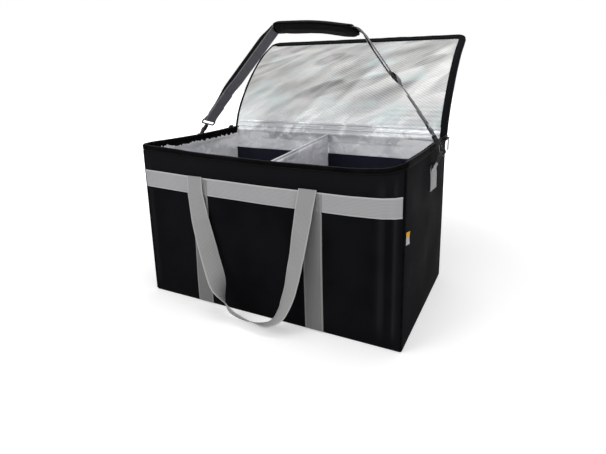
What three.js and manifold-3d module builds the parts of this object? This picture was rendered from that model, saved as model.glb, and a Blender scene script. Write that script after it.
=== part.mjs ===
// An insulated food delivery bag, open: its padded lid leans back and its shoulder strap stands up.
// Millimetres. +X runs right along the front, +Y to the back, +Z up.
// The origin is the middle of the bag's underside.
import * as THREE from 'three';
import { mergeVertices } from 'three/addons/utils/BufferGeometryUtils.js';
import Module from 'manifold-3d';

const wasm = await Module();
wasm.setup();

// Body
const BAG_WIDTH = 600;
const BAG_DEPTH = 350;
const BAG_HEIGHT = 350;
const FABRIC = 1.2;
const FOAM = 5;
const FOIL = 0.8;
const GAP = 0.3;
const BASE_CORNER = 4;
const FOAM_CHAMFER = 9;
const BOARD = 2;
const BOARD_DROP = 58;

// Seams, rim and zip
const PIPING_RADIUS = 3;
const PIPING_INSET = 2;
const PIPING_TOP_BACK = 4;
const TAPE = 1;
const TAPE_OUTER_DROP = 10;
const TAPE_INNER_DROP = 18;
const TAPE_CORNER = 5;
const TAPE_BACK_STOP = 8;
const LABEL_LENGTH = 28;
const LABEL_HEIGHT = 28;
const LABEL_BOTTOM = 201;

// Webbing
const WEBBING = 1.6;
const WEBBING_WIDTH = 38;
const BAND_DROP = 55;
const VERTICAL_LEFT_X = -148;
const VERTICAL_RIGHT_X = 122;
const VERTICAL_FOOT = 2;

// Lid, in three segments that bend together
const LID_SIDE_LIFT = 0.4;
const LID_OVERHANG = 1.3;
const LID_FOAM = 10;
const LID_GUSSET = 1.5;
const LID_BORDER = 10;
const LID_CORNER = 22;
const LID_WINDOW_CORNER = 12;
const LID_BEND_GAP = 0.8;
const LID_ANGLES = [62, 45, 30];

// Carrying handles
const HANDLE_THICKNESS = 3;
const HANDLE_PIVOT_DROP = 3;
const HANDLE_LEAN = 7.5;
const HANDLE_TWIST = 75;
const HANDLE_FLOOR = 12;
const HANDLE_LEFT_X = -153;
const HANDLE_RIGHT_X = 116;
const HANDLE_STEPS = 44;
// Its hanging line, as shares of the way across and of the drop
const HANDLE_LINE = [
  [0, 0], [0.015, 0.21], [0.063, 0.43], [0.149, 0.64], [0.223, 0.8], [0.305, 0.91], [0.457, 0.99],
  [0.613, 1], [0.732, 0.98], [0.818, 0.92], [0.87, 0.83], [0.911, 0.7], [0.952, 0.5], [0.985, 0.25], [1, 0],
];
const HANDLE_TURN_START = 0.68;
const HANDLE_TURN_END = 0.97;

// Divider
const DIVIDER_CORE = 5;
const DIVIDER_BACK_DROP = 8;
const DIVIDER_FRONT_DROP = 30;

// Side tabs and D-rings
const STRAP_Y = 30;
const TAB_LENGTH = 66;
const RING_BAR_DROP = 40;
const WIRE_RADIUS = 2;
const RING_RADIUS = 23;
const RING_STRAIGHT = 9;
const RING_CORNER = 3;
const RING_LEAN = 26;

// Swivel snap hooks
const STRAP_LEAN = 15.9;
const HOOK_LEAN = 32;
const HOOK_BAR = 4;
const HOOK_CLEARANCE = 2.2;
const HOOK_SEAT = 0.5;
const HOOK_THICKNESS = 5.4;
const HOOK_NOSE_ANGLE = 35;
const HOOK_NECK = 17;
const HOOK_NECK_HALF = 3;
const HOOK_THROAT = 4;
const HOOK_COLLAR_BOTTOM = 25;
const HOOK_COLLAR_TOP = 37;
const HOOK_COLLAR_RADIUS = 5;
const GATE_PIVOT = [3.6, 19.5];
const GATE_PIN_RADIUS = 0.9;
const GATE_THICKNESS = 2.2;
const GATE_HALF = 1.2;
const GATE_EYE_RADIUS = 2;
const GATE_THUMB = 1.8;
const GATE_CHEEK = 2.9;
const SWIVEL_STEM_RADIUS = 1.8;
const SWIVEL_HEAD_RADIUS = 3.2;
const SWIVEL_HEAD = 3;
const SWIVEL_WINDOW = 4.2;
const SWIVEL_ROOF = 5;
const SWIVEL_EYE_BOTTOM = 40;
const SWIVEL_EYE_TOP = 52;
const SWIVEL_EYE_CORNER = 4;
const SWIVEL_EYE_MARGIN = 4;

// Shoulder strap, in the leaning plane: x and the distance from the swing axis
const PAD_LEFT_END = [-108, 309];
const PAD_RIGHT_END = [115, 286];
const PAD_CROWN = 8;
const STRAP_BEND_RADIUS = 30;
const STRAP_STITCHED = 40;
const PAD_LENGTH = 228;
const PAD_WIDTH = 60;
const PAD = 8;
const PAD_END_SHARES = [0.03, 0.13, 0.27, 0.43, 0.63, 0.83, 1];
const ADJUSTER_DISTANCE = 137;
const ADJUSTER_LENGTH = 26;
const ADJUSTER_BAR = 3.5;
const ADJUSTER_RAIL = 3.4;
const ADJUSTER_WALL = 1.4;

// Zip sliders and pulls
const SLIDER_BACK = 17;
const SLIDER_LENGTH = 14;
const SLIDER_HEIGHT = 11;
const SLIDER_BODY = 4.5;
const SLIDER_CORNER = 3;
const PULL_PIN_RADIUS = 1;
const PULL_BARREL_RADIUS = 2.3;
const PULL_BARREL_LENGTH = 4;
const PULL_LUG = 1.6;
const PULL_LUG_HALF = 1.8;
const PULL_LENGTH = 28;
const PULL_WIDTH = 8;
const PULL_THICKNESS = 1.6;
const PULL_HOLE_RADIUS = 2;

// Sizes that follow from those above
const HALF_WIDTH = BAG_WIDTH / 2;
const HALF_DEPTH = BAG_DEPTH / 2;
const FOAM_FACE = FABRIC + GAP;
const FOIL_FACE = FOAM_FACE + FOAM + GAP;
const WALL = FOIL_FACE + FOIL;
const WALL_FOOT = FOAM_FACE + FOAM + GAP;
const FLOOR = WALL_FOOT + FOIL;
const LAYER_TOP = BAG_HEIGHT - TAPE - GAP;
const PANEL_CUTBACK = PIPING_INSET + PIPING_RADIUS + GAP;
const BOARD_TOP = BAG_HEIGHT - BOARD_DROP;
const BAND_TOP = BAG_HEIGHT - BAND_DROP;
const BAND_BOTTOM = BAND_TOP - WEBBING_WIDTH;
const HANDLE_DROP = BAND_TOP - HANDLE_PIVOT_DROP - HANDLE_FLOOR;
const DIVIDER_BACK_TOP = BAG_HEIGHT - DIVIDER_BACK_DROP;
const DIVIDER_FRONT_TOP = BAG_HEIGHT - DIVIDER_FRONT_DROP;
const RING_BAR_Z = BAG_HEIGHT - RING_BAR_DROP;
const TAB_BOTTOM = RING_BAR_Z - TAB_LENGTH;
const SLIDER_Y = HALF_DEPTH - SLIDER_BACK;
const TAPE_FACE = HALF_WIDTH + GAP + TAPE;
const LID_THICKNESS = FOIL + GAP + LID_FOAM + GAP + FABRIC;
const LID_HALF_WIDTH = HALF_WIDTH + LID_OVERHANG;
const LID_SEGMENT = (BAG_DEPTH + LID_OVERHANG) / LID_ANGLES.length;
const LOOP_HOLE = WIRE_RADIUS + GAP;
const LOOP_RADIUS = LOOP_HOLE + WEBBING;
const RING_BAR_X = HALF_WIDTH + GAP + LOOP_RADIUS;
const HOOK_INNER = WIRE_RADIUS + HOOK_CLEARANCE;
const HOOK_OUTER = HOOK_INNER + HOOK_BAR;
const WINDOW_LOW = HOOK_COLLAR_TOP - SWIVEL_ROOF - SWIVEL_WINDOW;

const radians = THREE.MathUtils.degToRad;
const SEAT_PLANE = seatOfHook();

const FINISHES = {
  oxford: [0x17181a, 0.85, 0],
  binding: [0x0e0f10, 0.9, 0],
  foam: [0xd8d8d2, 0.95, 0],
  foil: [0xc9ccd0, 0.3, 0.6],
  webbing: [0x9b9b9b, 0.9, 0],
  pad: [0x101112, 0.9, 0],
  board: [0x0a0b12, 0.7, 0],
  label: [0xe8e4d2, 0.8, 0],
  hardware: [0x1b1c1e, 0.35, 0.7],
};

const bag = new THREE.Group();

// A named piece, in its own material, added to a group
function piece(group, name, geometry, finish) {
  const [color, roughness, metalness] = FINISHES[finish];
  const material = new THREE.MeshStandardMaterial({ color, roughness, metalness });
  const mesh = new THREE.Mesh(geometry, material);
  mesh.name = name;
  group.add(mesh);
  return mesh;
}

// A closed geometry as a solid that can be cut and joined
function solid(geometry) {
  const bare = geometry.clone();
  bare.deleteAttribute('normal');
  bare.deleteAttribute('uv');
  const merged = mergeVertices(bare, 1e-4);
  const vertProperties = Float32Array.from(merged.attributes.position.array);
  const triVerts = Uint32Array.from(merged.index.array);
  return new wasm.Manifold(new wasm.Mesh({ numProp: 3, vertProperties, triVerts }));
}

function geometryOf(manifold) {
  const mesh = manifold.getMesh();
  const geometry = new THREE.BufferGeometry();
  geometry.setAttribute('position', new THREE.BufferAttribute(mesh.vertProperties, 3));
  geometry.setIndex(new THREE.BufferAttribute(mesh.triVerts, 1));
  return geometry;
}

function joined(...geometries) {
  return geometries.map(solid).reduce((whole, next) => whole.add(next));
}

function box(x0, x1, y0, y1, z0, z1) {
  const geometry = new THREE.BoxGeometry(x1 - x0, y1 - y0, z1 - z0);
  return geometry.translate((x0 + x1) / 2, (y0 + y1) / 2, (z0 + z1) / 2);
}

function outlineOf(points) {
  return new THREE.Shape(points.map(([a, b]) => new THREE.Vector2(a, b)));
}

function extruded(shape, length, curveSegments = 8) {
  return new THREE.ExtrudeGeometry(shape, { depth: length, bevelEnabled: false, curveSegments });
}

// An outline of (x, y) points or arcs, from z0 up to z1
function alongZ(shape, z0, z1) {
  return extruded(shape, z1 - z0).translate(0, 0, z0);
}

// An outline of (y, z) points or arcs, from x0 to x1
function alongX(shape, x0, x1) {
  const turn = new THREE.Matrix4().makeBasis(
    new THREE.Vector3(0, 1, 0), new THREE.Vector3(0, 0, 1), new THREE.Vector3(1, 0, 0));
  return extruded(shape, x1 - x0).applyMatrix4(turn).translate(x0, 0, 0);
}

// An outline of (x, z) points or arcs, from y0 to y1
function alongY(shape, y0, y1) {
  const turn = new THREE.Matrix4().makeBasis(
    new THREE.Vector3(1, 0, 0), new THREE.Vector3(0, 0, 1), new THREE.Vector3(0, -1, 0));
  return extruded(shape, y1 - y0).applyMatrix4(turn).translate(0, y1, 0);
}

function roundedRectangle(halfX, halfY, radius) {
  const shape = new THREE.Shape();
  shape.absarc(halfX - radius, halfY - radius, radius, 0, Math.PI / 2);
  shape.absarc(radius - halfX, halfY - radius, radius, Math.PI / 2, Math.PI);
  shape.absarc(radius - halfX, radius - halfY, radius, Math.PI, 1.5 * Math.PI);
  shape.absarc(halfX - radius, radius - halfY, radius, 1.5 * Math.PI, 2 * Math.PI);
  return shape;
}

function disc(a, b, radius) {
  return new THREE.Shape().absarc(a, b, radius, 0, 2 * Math.PI);
}

// A solid through a row of sections, each a ring of points that turns left seen from the far end
function loft(rings, closed = false) {
  const count = rings[0].length;
  const positions = rings.flat().flatMap((point) => point.toArray());
  const triangles = [];
  const spans = closed ? rings.length : rings.length - 1;
  for (let i = 0; i < spans; i += 1) {
    const near = i * count;
    const far = ((i + 1) % rings.length) * count;
    for (let k = 0; k < count; k += 1) {
      const next = (k + 1) % count;
      triangles.push(near + k, near + next, far + next, near + k, far + next, far + k);
    }
  }
  const last = (rings.length - 1) * count;
  for (let k = 1; !closed && k < count - 1; k += 1) {
    triangles.push(0, k + 1, k);
    triangles.push(last, last + k, last + k + 1);
  }
  const geometry = new THREE.BufferGeometry();
  geometry.setAttribute('position', new THREE.Float32BufferAttribute(positions, 3));
  geometry.setIndex(triangles);
  return geometry;
}

// One section of a strip: across runs over its width, and the thickness lies from low to high
function stripSection(centre, tangent, across, width, low, high) {
  const normal = new THREE.Vector3().crossVectors(tangent, across).normalize();
  const corner = (side, height) => centre.clone()
    .addScaledVector(across, (side * width) / 2)
    .addScaledVector(normal, height);
  return [corner(-1, low), corner(1, low), corner(1, high), corner(-1, high)];
}

// A round wire bent along a closed flat line; out is the line's outward normal at each point
function wireLoop(stations, plane, radius, sides = 10) {
  const rings = stations.map(({ at, out }) => Array.from({ length: sides }, (_, k) => {
    const angle = (2 * Math.PI * k) / sides;
    return at.clone()
      .addScaledVector(out, radius * Math.cos(angle))
      .addScaledVector(plane, radius * Math.sin(angle));
  }));
  return loft(rings, true);
}

// Stations of a closed line through four rounded corners in the (a, b) plane
function roundedLoop(corners, steps, place) {
  const stations = [];
  corners.forEach(({ a, b, radius, start, sweep }) => {
    for (let k = 0; k <= steps; k += 1) {
      const angle = start + (sweep * k) / steps;
      const out = [Math.cos(angle), Math.sin(angle)];
      stations.push({
        at: place(a + radius * out[0], b + radius * out[1]),
        out: place(...out).sub(place(0, 0)),
      });
    }
  });
  return stations;
}

// Outer fabric, foam and foil walls, with the base
function addWalls() {
  const panelX = HALF_WIDTH - PANEL_CUTBACK;
  const panelY = HALF_DEPTH - PANEL_CUTBACK;
  const foamY = HALF_DEPTH - FOIL_FACE;
  const foilX = HALF_WIDTH - WALL - GAP;
  const layers = (name, finish, halfLength, thickness, face, foot, top) => {
    const low = HALF_DEPTH - face - thickness;
    const high = HALF_DEPTH - face;
    piece(bag, `${name}_front`, box(-halfLength, halfLength, -high, -low, foot, top), finish);
    const backTop = name === 'panel' ? BAG_HEIGHT : top;
    piece(bag, `${name}_back`, box(-halfLength, halfLength, low, high, foot, backTop), finish);
  };
  const sides = (name, finish, halfLength, thickness, face, foot, top) => {
    const low = HALF_WIDTH - face - thickness;
    const high = HALF_WIDTH - face;
    piece(bag, `${name}_left`, box(-high, -low, -halfLength, halfLength, foot, top), finish);
    piece(bag, `${name}_right`, box(low, high, -halfLength, halfLength, foot, top), finish);
  };
  layers('panel', 'oxford', panelX, FABRIC, 0, FOAM_FACE, LAYER_TOP);
  sides('panel', 'oxford', panelY, FABRIC, 0, FOAM_FACE, LAYER_TOP);
  layers('foam', 'foam', panelX, FOAM, FOAM_FACE, WALL_FOOT, LAYER_TOP);
  sides('foam', 'foam', foamY, FOAM, FOAM_FACE, WALL_FOOT, LAYER_TOP);
  layers('lining', 'foil', foilX, FOIL, FOIL_FACE, WALL_FOOT, LAYER_TOP);
  sides('lining', 'foil', foamY, FOIL, FOIL_FACE, WALL_FOOT, LAYER_TOP);
}

function addBase() {
  const panel = alongZ(roundedRectangle(HALF_WIDTH, HALF_DEPTH, BASE_CORNER), 0, FABRIC);
  piece(bag, 'panel_base', panel, 'oxford');
  const x = HALF_WIDTH - FOAM_FACE;
  const y = HALF_DEPTH - FOAM_FACE;
  const cut = FOAM_CHAMFER;
  const outline = outlineOf([
    [x, cut - y], [x, y - cut], [x - cut, y], [cut - x, y],
    [-x, y - cut], [-x, cut - y], [cut - x, -y], [x - cut, -y],
  ]);
  piece(bag, 'foam_base', alongZ(outline, FOAM_FACE, FOAM_FACE + FOAM), 'foam');
  const liningX = HALF_WIDTH - WALL - GAP;
  const liningY = HALF_DEPTH - WALL - GAP;
  piece(bag, 'lining_base', box(-liningX, liningX, -liningY, liningY, WALL_FOOT, FLOOR), 'foil');
}

// The dark stiff board that stands inside, against the back wall
function addBackBoard() {
  const x = HALF_WIDTH - WALL - 2 * GAP;
  const y = HALF_DEPTH - WALL - GAP;
  piece(bag, 'back_board', box(-x, x, y - BOARD, y, FLOOR + GAP, BOARD_TOP), 'board');
}

// Piping sewn into the four upright seams
function addPiping() {
  const corners = { front_left: [-1, -1], front_right: [1, -1], back_left: [-1, 1], back_right: [1, 1] };
  Object.entries(corners).forEach(([name, [sideX, sideY]]) => {
    const drop = sideY < 0 ? TAPE_OUTER_DROP + GAP : PIPING_TOP_BACK;
    const height = BAG_HEIGHT - drop - FOAM_FACE;
    const rod = new THREE.CylinderGeometry(PIPING_RADIUS, PIPING_RADIUS, height, 14).rotateX(Math.PI / 2);
    const x = sideX * (HALF_WIDTH - PIPING_INSET);
    const y = sideY * (HALF_DEPTH - PIPING_INSET);
    piece(bag, `piping_${name}`, rod.translate(x, y, FOAM_FACE + height / 2), 'binding');
  });
}

// The zip tape and binding that straddles the rim at the front and both sides
function addRimTape() {
  const ring = (outset, thickness, corner, z0, z1) => {
    const shape = roundedRectangle(HALF_WIDTH + outset, HALF_DEPTH + outset, corner);
    const inset = outset - thickness;
    const hole = roundedRectangle(HALF_WIDTH + inset, HALF_DEPTH + inset, Math.max(corner - thickness, 1));
    shape.holes.push(hole);
    return alongZ(shape, z0, z1);
  };
  const outset = GAP + TAPE;
  const inner = -WALL - GAP;
  const whole = joined(
    ring(outset, TAPE, TAPE_CORNER, BAG_HEIGHT - TAPE_OUTER_DROP, BAG_HEIGHT),
    ring(outset, outset - inner + TAPE, TAPE_CORNER, BAG_HEIGHT - TAPE, BAG_HEIGHT),
    ring(inner, TAPE, 2, BAG_HEIGHT - TAPE_INNER_DROP, BAG_HEIGHT),
  );
  const stop = HALF_DEPTH - TAPE_BACK_STOP;
  const back = solid(box(-BAG_WIDTH, BAG_WIDTH, stop, BAG_DEPTH, 0, 2 * BAG_HEIGHT));
  piece(bag, 'rim_tape', geometryOf(whole.subtract(back)), 'binding');
}

// Webbing sewn on the front and back: a band all along, and two uprights below it
function addBands() {
  const halfLength = HALF_WIDTH - PANEL_CUTBACK;
  const low = HALF_DEPTH + GAP;
  const high = low + WEBBING;
  const faces = { front: [-high, -low], back: [low, high] };
  Object.entries(faces).forEach(([face, [y0, y1]]) => {
    piece(bag, `band_${face}`, box(-halfLength, halfLength, y0, y1, BAND_BOTTOM, BAND_TOP), 'webbing');
    const uprights = { left: VERTICAL_LEFT_X, right: VERTICAL_RIGHT_X };
    Object.entries(uprights).forEach(([side, x]) => {
      const strip = box(x - WEBBING_WIDTH / 2, x + WEBBING_WIDTH / 2, y0, y1, VERTICAL_FOOT, BAND_BOTTOM - GAP);
      piece(bag, `upright_${face}_${side}`, strip, 'webbing');
    });
  });
}

function addSideLabel() {
  const x = HALF_WIDTH + GAP;
  const y = -HALF_DEPTH + PANEL_CUTBACK;
  const top = LABEL_BOTTOM + LABEL_HEIGHT;
  piece(bag, 'side_label', box(x, x + FOIL, y, y + LABEL_LENGTH, LABEL_BOTTOM, top), 'label');
}

// Outline of the lid's plan: square at the near end, rounded at the far corners
function lidPlan(halfWidth, end, radius) {
  const shape = new THREE.Shape();
  shape.moveTo(-halfWidth, -LID_SEGMENT);
  shape.lineTo(halfWidth, -LID_SEGMENT);
  shape.absarc(halfWidth - radius, end - radius, radius, 0, Math.PI / 2);
  shape.absarc(radius - halfWidth, end - radius, radius, Math.PI / 2, Math.PI);
  return shape;
}

// Side view of one lid segment, cut to the half angles of its two bends
function lidSlice(startHalfAngle, endHalfAngle, first, last) {
  const deep = LID_SIDE_LIFT + LID_THICKNESS;
  const start = (depth) => (first ? 0 : LID_BEND_GAP / 2 + depth * Math.tan(radians(startHalfAngle)));
  const end = (depth) => (last
    ? LID_SEGMENT
    : LID_SEGMENT - LID_BEND_GAP / 2 - depth * Math.tan(radians(endHalfAngle)));
  const outline = outlineOf([
    [start(deep), -deep], [end(deep), -deep], [end(LID_SIDE_LIFT), -LID_SIDE_LIFT],
    [start(LID_SIDE_LIFT), -LID_SIDE_LIFT],
  ]);
  return solid(alongX(outline, -BAG_WIDTH, BAG_WIDTH));
}

// One lid segment: black shell with its border, foam inside, foil facing in the border's window
function addLidSegment(index, place) {
  const count = LID_ANGLES.length;
  const last = index === count - 1;
  const startHalf = index === 0 ? 0 : (LID_ANGLES[index - 1] - LID_ANGLES[index]) / 2;
  const endHalf = last ? 0 : (LID_ANGLES[index] - LID_ANGLES[index + 1]) / 2;
  const slice = lidSlice(startHalf, endHalf, index === 0, last);
  const far = last ? LID_SEGMENT : 2 * LID_SEGMENT;
  const layer = (margin, radius, near, deep) => {
    const plan = lidPlan(LID_HALF_WIDTH - margin, far - (last ? margin : 0), radius);
    return solid(alongZ(plan, -LID_SIDE_LIFT - deep, -LID_SIDE_LIFT - near));
  };
  const foamNear = FOIL + GAP;
  const foamDeep = foamNear + LID_FOAM;
  const shell = layer(0, LID_CORNER, 0, LID_THICKNESS)
    .subtract(layer(LID_BORDER, LID_WINDOW_CORNER, -1, FOIL))
    .subtract(layer(LID_GUSSET, LID_CORNER - LID_GUSSET, FOIL, foamDeep + GAP))
    .intersect(slice);
  const group = new THREE.Group();
  group.position.set(0, place.y, place.z);
  group.rotation.x = radians(LID_ANGLES[index]);
  bag.add(group);
  const number = index + 1;
  piece(group, `lid_shell_${number}`, geometryOf(shell), 'oxford');
  const foam = layer(LID_GUSSET + GAP, LID_CORNER - LID_GUSSET - GAP, foamNear, foamDeep);
  piece(group, `lid_foam_${number}`, geometryOf(foam.intersect(slice)), 'foam');
  const foil = layer(LID_BORDER + GAP, LID_WINDOW_CORNER - GAP, 0, FOIL);
  piece(group, `lid_lining_${number}`, geometryOf(foil.intersect(slice)), 'foil');
}

function addLid() {
  const place = { y: HALF_DEPTH, z: BAG_HEIGHT };
  LID_ANGLES.forEach((angle, index) => {
    addLidSegment(index, place);
    place.y += LID_SEGMENT * Math.cos(radians(angle));
    place.z += LID_SEGMENT * Math.sin(radians(angle));
  });
}

// The handle's hanging loop: sideways place and drop, from its left leg round to its right leg
function handleLine() {
  const points = HANDLE_LINE.map(([across, down]) => new THREE.Vector3(
    THREE.MathUtils.lerp(HANDLE_LEFT_X, HANDLE_RIGHT_X, across), 0, -down * HANDLE_DROP));
  return new THREE.CatmullRomCurve3(points);
}

// A webbing loop, cut level at its legs' tops, that turns on edge along its bottom
function handleGeometry() {
  const line = handleLine();
  const turned = radians(HANDLE_TWIST);
  const outward = new THREE.Vector3(0, -1, 0);
  const ends = { 0: new THREE.Vector3(0, 0, -1), [HANDLE_STEPS]: new THREE.Vector3(0, 0, 1) };
  const rings = [];
  for (let k = 0; k <= HANDLE_STEPS; k += 1) {
    const share = k / HANDLE_STEPS;
    const centre = line.getPointAt(share);
    const tangent = ends[k] ?? line.getTangentAt(share);
    const low = THREE.MathUtils.smoothstep(-centre.z / HANDLE_DROP, HANDLE_TURN_START, HANDLE_TURN_END);
    const flat = new THREE.Vector3().crossVectors(tangent, outward).normalize();
    const across = flat.multiplyScalar(Math.cos(turned * low))
      .addScaledVector(outward, Math.sin(turned * low));
    const half = HANDLE_THICKNESS / 2;
    rings.push(stripSection(centre, tangent, across, WEBBING_WIDTH, -half, half));
  }
  return loft(rings);
}

function addHandles() {
  const away = HALF_DEPTH + 2 * GAP + WEBBING + HANDLE_THICKNESS / 2;
  const sides = { front: [-1, 0], back: [1, Math.PI] };
  Object.entries(sides).forEach(([name, [side, turn]]) => {
    const group = new THREE.Group();
    group.position.set(0, side * away, BAND_TOP - HANDLE_PIVOT_DROP);
    group.rotation.set(-radians(HANDLE_LEAN), 0, turn, 'ZYX');
    bag.add(group);
    piece(group, `handle_${name}`, handleGeometry(), 'webbing');
  });
}

// A foil sleeve over a foam sheet, standing across the middle of the bag
function addDivider() {
  const outer = DIVIDER_CORE / 2 + GAP + FOIL;
  const back = HALF_DEPTH - WALL - GAP - BOARD - GAP;
  const front = -(HALF_DEPTH - WALL - GAP - TAPE - GAP);
  const foot = FLOOR + GAP;
  const side = (margin, z0) => outlineOf([
    [front + margin, z0], [back - margin, z0], [back - margin, DIVIDER_BACK_TOP - margin],
    [front + margin, DIVIDER_FRONT_TOP - margin],
  ]);
  const sleeve = solid(alongX(side(0, foot), -outer, outer))
    .subtract(solid(alongX(side(FOIL, foot - FOIL), FOIL - outer, outer - FOIL)));
  piece(bag, 'divider_cover', geometryOf(sleeve), 'foil');
  const core = alongX(side(FOIL + GAP, foot), -DIVIDER_CORE / 2, DIVIDER_CORE / 2);
  piece(bag, 'divider_core', core, 'foam');
}

// The webbing tab on each side, folded over the D-ring's bar
function addTab(name, side) {
  const plate = outlineOf([
    [HALF_WIDTH + GAP, TAB_BOTTOM], [HALF_WIDTH + GAP + 2 * WEBBING, TAB_BOTTOM],
    [HALF_WIDTH + GAP + 2 * WEBBING, RING_BAR_Z - LOOP_HOLE - GAP],
    [HALF_WIDTH + GAP, RING_BAR_Z - LOOP_HOLE - GAP],
  ]);
  const y0 = STRAP_Y - WEBBING_WIDTH / 2;
  const y1 = STRAP_Y + WEBBING_WIDTH / 2;
  const tab = joined(alongY(plate, y0, y1), alongY(disc(RING_BAR_X, RING_BAR_Z, LOOP_RADIUS), y0, y1))
    .subtract(solid(alongY(disc(RING_BAR_X, RING_BAR_Z, LOOP_HOLE), y0 - 1, y1 + 1)));
  const geometry = geometryOf(tab);
  if (side < 0) {
    geometry.translate(0, -STRAP_Y, 0).rotateZ(Math.PI).translate(0, STRAP_Y, 0);
  }
  piece(bag, `tab_${name}`, geometry, 'webbing');
}

// A D-ring: its bar lies in the tab's fold, and its bow leans out from the side
function addRing(name, side) {
  const lean = radians(RING_LEAN);
  const place = (y, up) => new THREE.Vector3(side * up * Math.sin(lean), y, up * Math.cos(lean));
  const straight = RING_RADIUS - RING_CORNER;
  const bow = Array.from({ length: 4 }, (_, k) => ({
    a: 0, b: RING_STRAIGHT, radius: RING_RADIUS, start: (k * Math.PI) / 4, sweep: Math.PI / 4,
  }));
  const feet = [
    { a: -straight, b: RING_CORNER, radius: RING_CORNER, start: Math.PI, sweep: Math.PI / 2 },
    { a: straight, b: RING_CORNER, radius: RING_CORNER, start: 1.5 * Math.PI, sweep: Math.PI / 2 },
  ];
  const stations = roundedLoop([...bow, ...feet], 4, place).filter(({ at }, index, all) => (
    at.distanceTo(all[(index + 1) % all.length].at) > GAP));
  const plane = new THREE.Vector3(-Math.cos(lean), 0, side * Math.sin(lean));
  const geometry = wireLoop(stations, plane, WIRE_RADIUS);
  const group = new THREE.Group();
  group.position.set(side * RING_BAR_X, STRAP_Y, RING_BAR_Z);
  bag.add(group);
  piece(group, `dring_${name}`, geometry, 'hardware');
}

// Where the hook's curl sits on the D-ring's bow, in the strap's leaning plane
function seatOfHook() {
  const lean = radians(RING_LEAN);
  const around = Math.atan(Math.cos(lean) * Math.tan(radians(STRAP_LEAN)));
  const axisX = RING_BAR_X + RING_STRAIGHT * Math.sin(lean);
  const axisZ = RING_BAR_Z + RING_STRAIGHT * Math.cos(lean);
  const sideways = RING_RADIUS * Math.sin(around);
  const upward = RING_RADIUS * Math.cos(around) * Math.cos(lean);
  const x = axisX + RING_RADIUS * Math.cos(around) * Math.sin(lean);
  return { x, axisZ, distance: Math.hypot(sideways, upward) };
}

// A group in the strap's plane: its X runs across the bag, its Y up the leaning plane
function strapPlane() {
  const group = new THREE.Group();
  const lean = radians(STRAP_LEAN);
  const across = new THREE.Vector3(1, 0, 0);
  const up = new THREE.Vector3(0, Math.sin(lean), Math.cos(lean));
  const basis = new THREE.Matrix4().makeBasis(across, up, new THREE.Vector3().crossVectors(across, up));
  group.quaternion.setFromRotationMatrix(basis);
  group.position.set(0, STRAP_Y, SEAT_PLANE.axisZ);
  bag.add(group);
  return group;
}

// The hook's own frame in that plane: its X points outward from the bag, its Y up its shank
function hookFrame(side) {
  const lean = radians(HOOK_LEAN);
  const outward = new THREE.Vector3(side * Math.cos(lean), Math.sin(lean), 0);
  const up = new THREE.Vector3(-side * Math.sin(lean), Math.cos(lean), 0);
  const basis = new THREE.Matrix4().makeBasis(outward, up, new THREE.Vector3().crossVectors(outward, up));
  const pulled = up.clone().multiplyScalar(HOOK_CLEARANCE - HOOK_SEAT);
  return basis.setPosition(side * SEAT_PLANE.x + pulled.x, SEAT_PLANE.distance + pulled.y, 0);
}

// The curl round the ring, the back up to the collar, and the cheeks that hold the gate's pin
function hookOutline() {
  const nose = radians(HOOK_NOSE_ANGLE);
  const [pinX, pinY] = GATE_PIVOT;
  const shape = new THREE.Shape();
  shape.moveTo(HOOK_INNER * Math.cos(nose), HOOK_INNER * Math.sin(nose));
  shape.lineTo(HOOK_OUTER * Math.cos(nose), HOOK_OUTER * Math.sin(nose));
  shape.absarc(0, 0, HOOK_OUTER, nose, -Math.PI, true);
  shape.lineTo(-HOOK_NECK_HALF, HOOK_NECK);
  shape.lineTo(-HOOK_COLLAR_RADIUS, HOOK_COLLAR_BOTTOM);
  shape.lineTo(-HOOK_COLLAR_RADIUS, HOOK_COLLAR_BOTTOM + 1);
  shape.lineTo(HOOK_COLLAR_RADIUS, HOOK_COLLAR_BOTTOM + 1);
  shape.lineTo(pinX + GATE_CHEEK, pinY + GATE_CHEEK);
  shape.lineTo(pinX + GATE_CHEEK, pinY - GATE_CHEEK / 2);
  shape.lineTo(pinX + GATE_CHEEK / 4, pinY - HOOK_THROAT);
  shape.lineTo(HOOK_BAR - HOOK_NECK_HALF, pinY - HOOK_THROAT - 1);
  shape.lineTo(-HOOK_INNER, 0);
  shape.absarc(0, 0, HOOK_INNER, Math.PI, 2 * Math.PI + nose, false);
  return shape;
}

// A cylinder across the hook, along its frame's third axis
function acrossPin(a, b, radius, length, sides = 16) {
  return new THREE.CylinderGeometry(radius, radius, length, sides).rotateX(Math.PI / 2).translate(a, b, 0);
}

// A cylinder along the hook's shank
function shankPin(radius, low, high, sides = 20) {
  return new THREE.CylinderGeometry(radius, radius, high - low, sides).translate(0, (low + high) / 2, 0);
}

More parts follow.
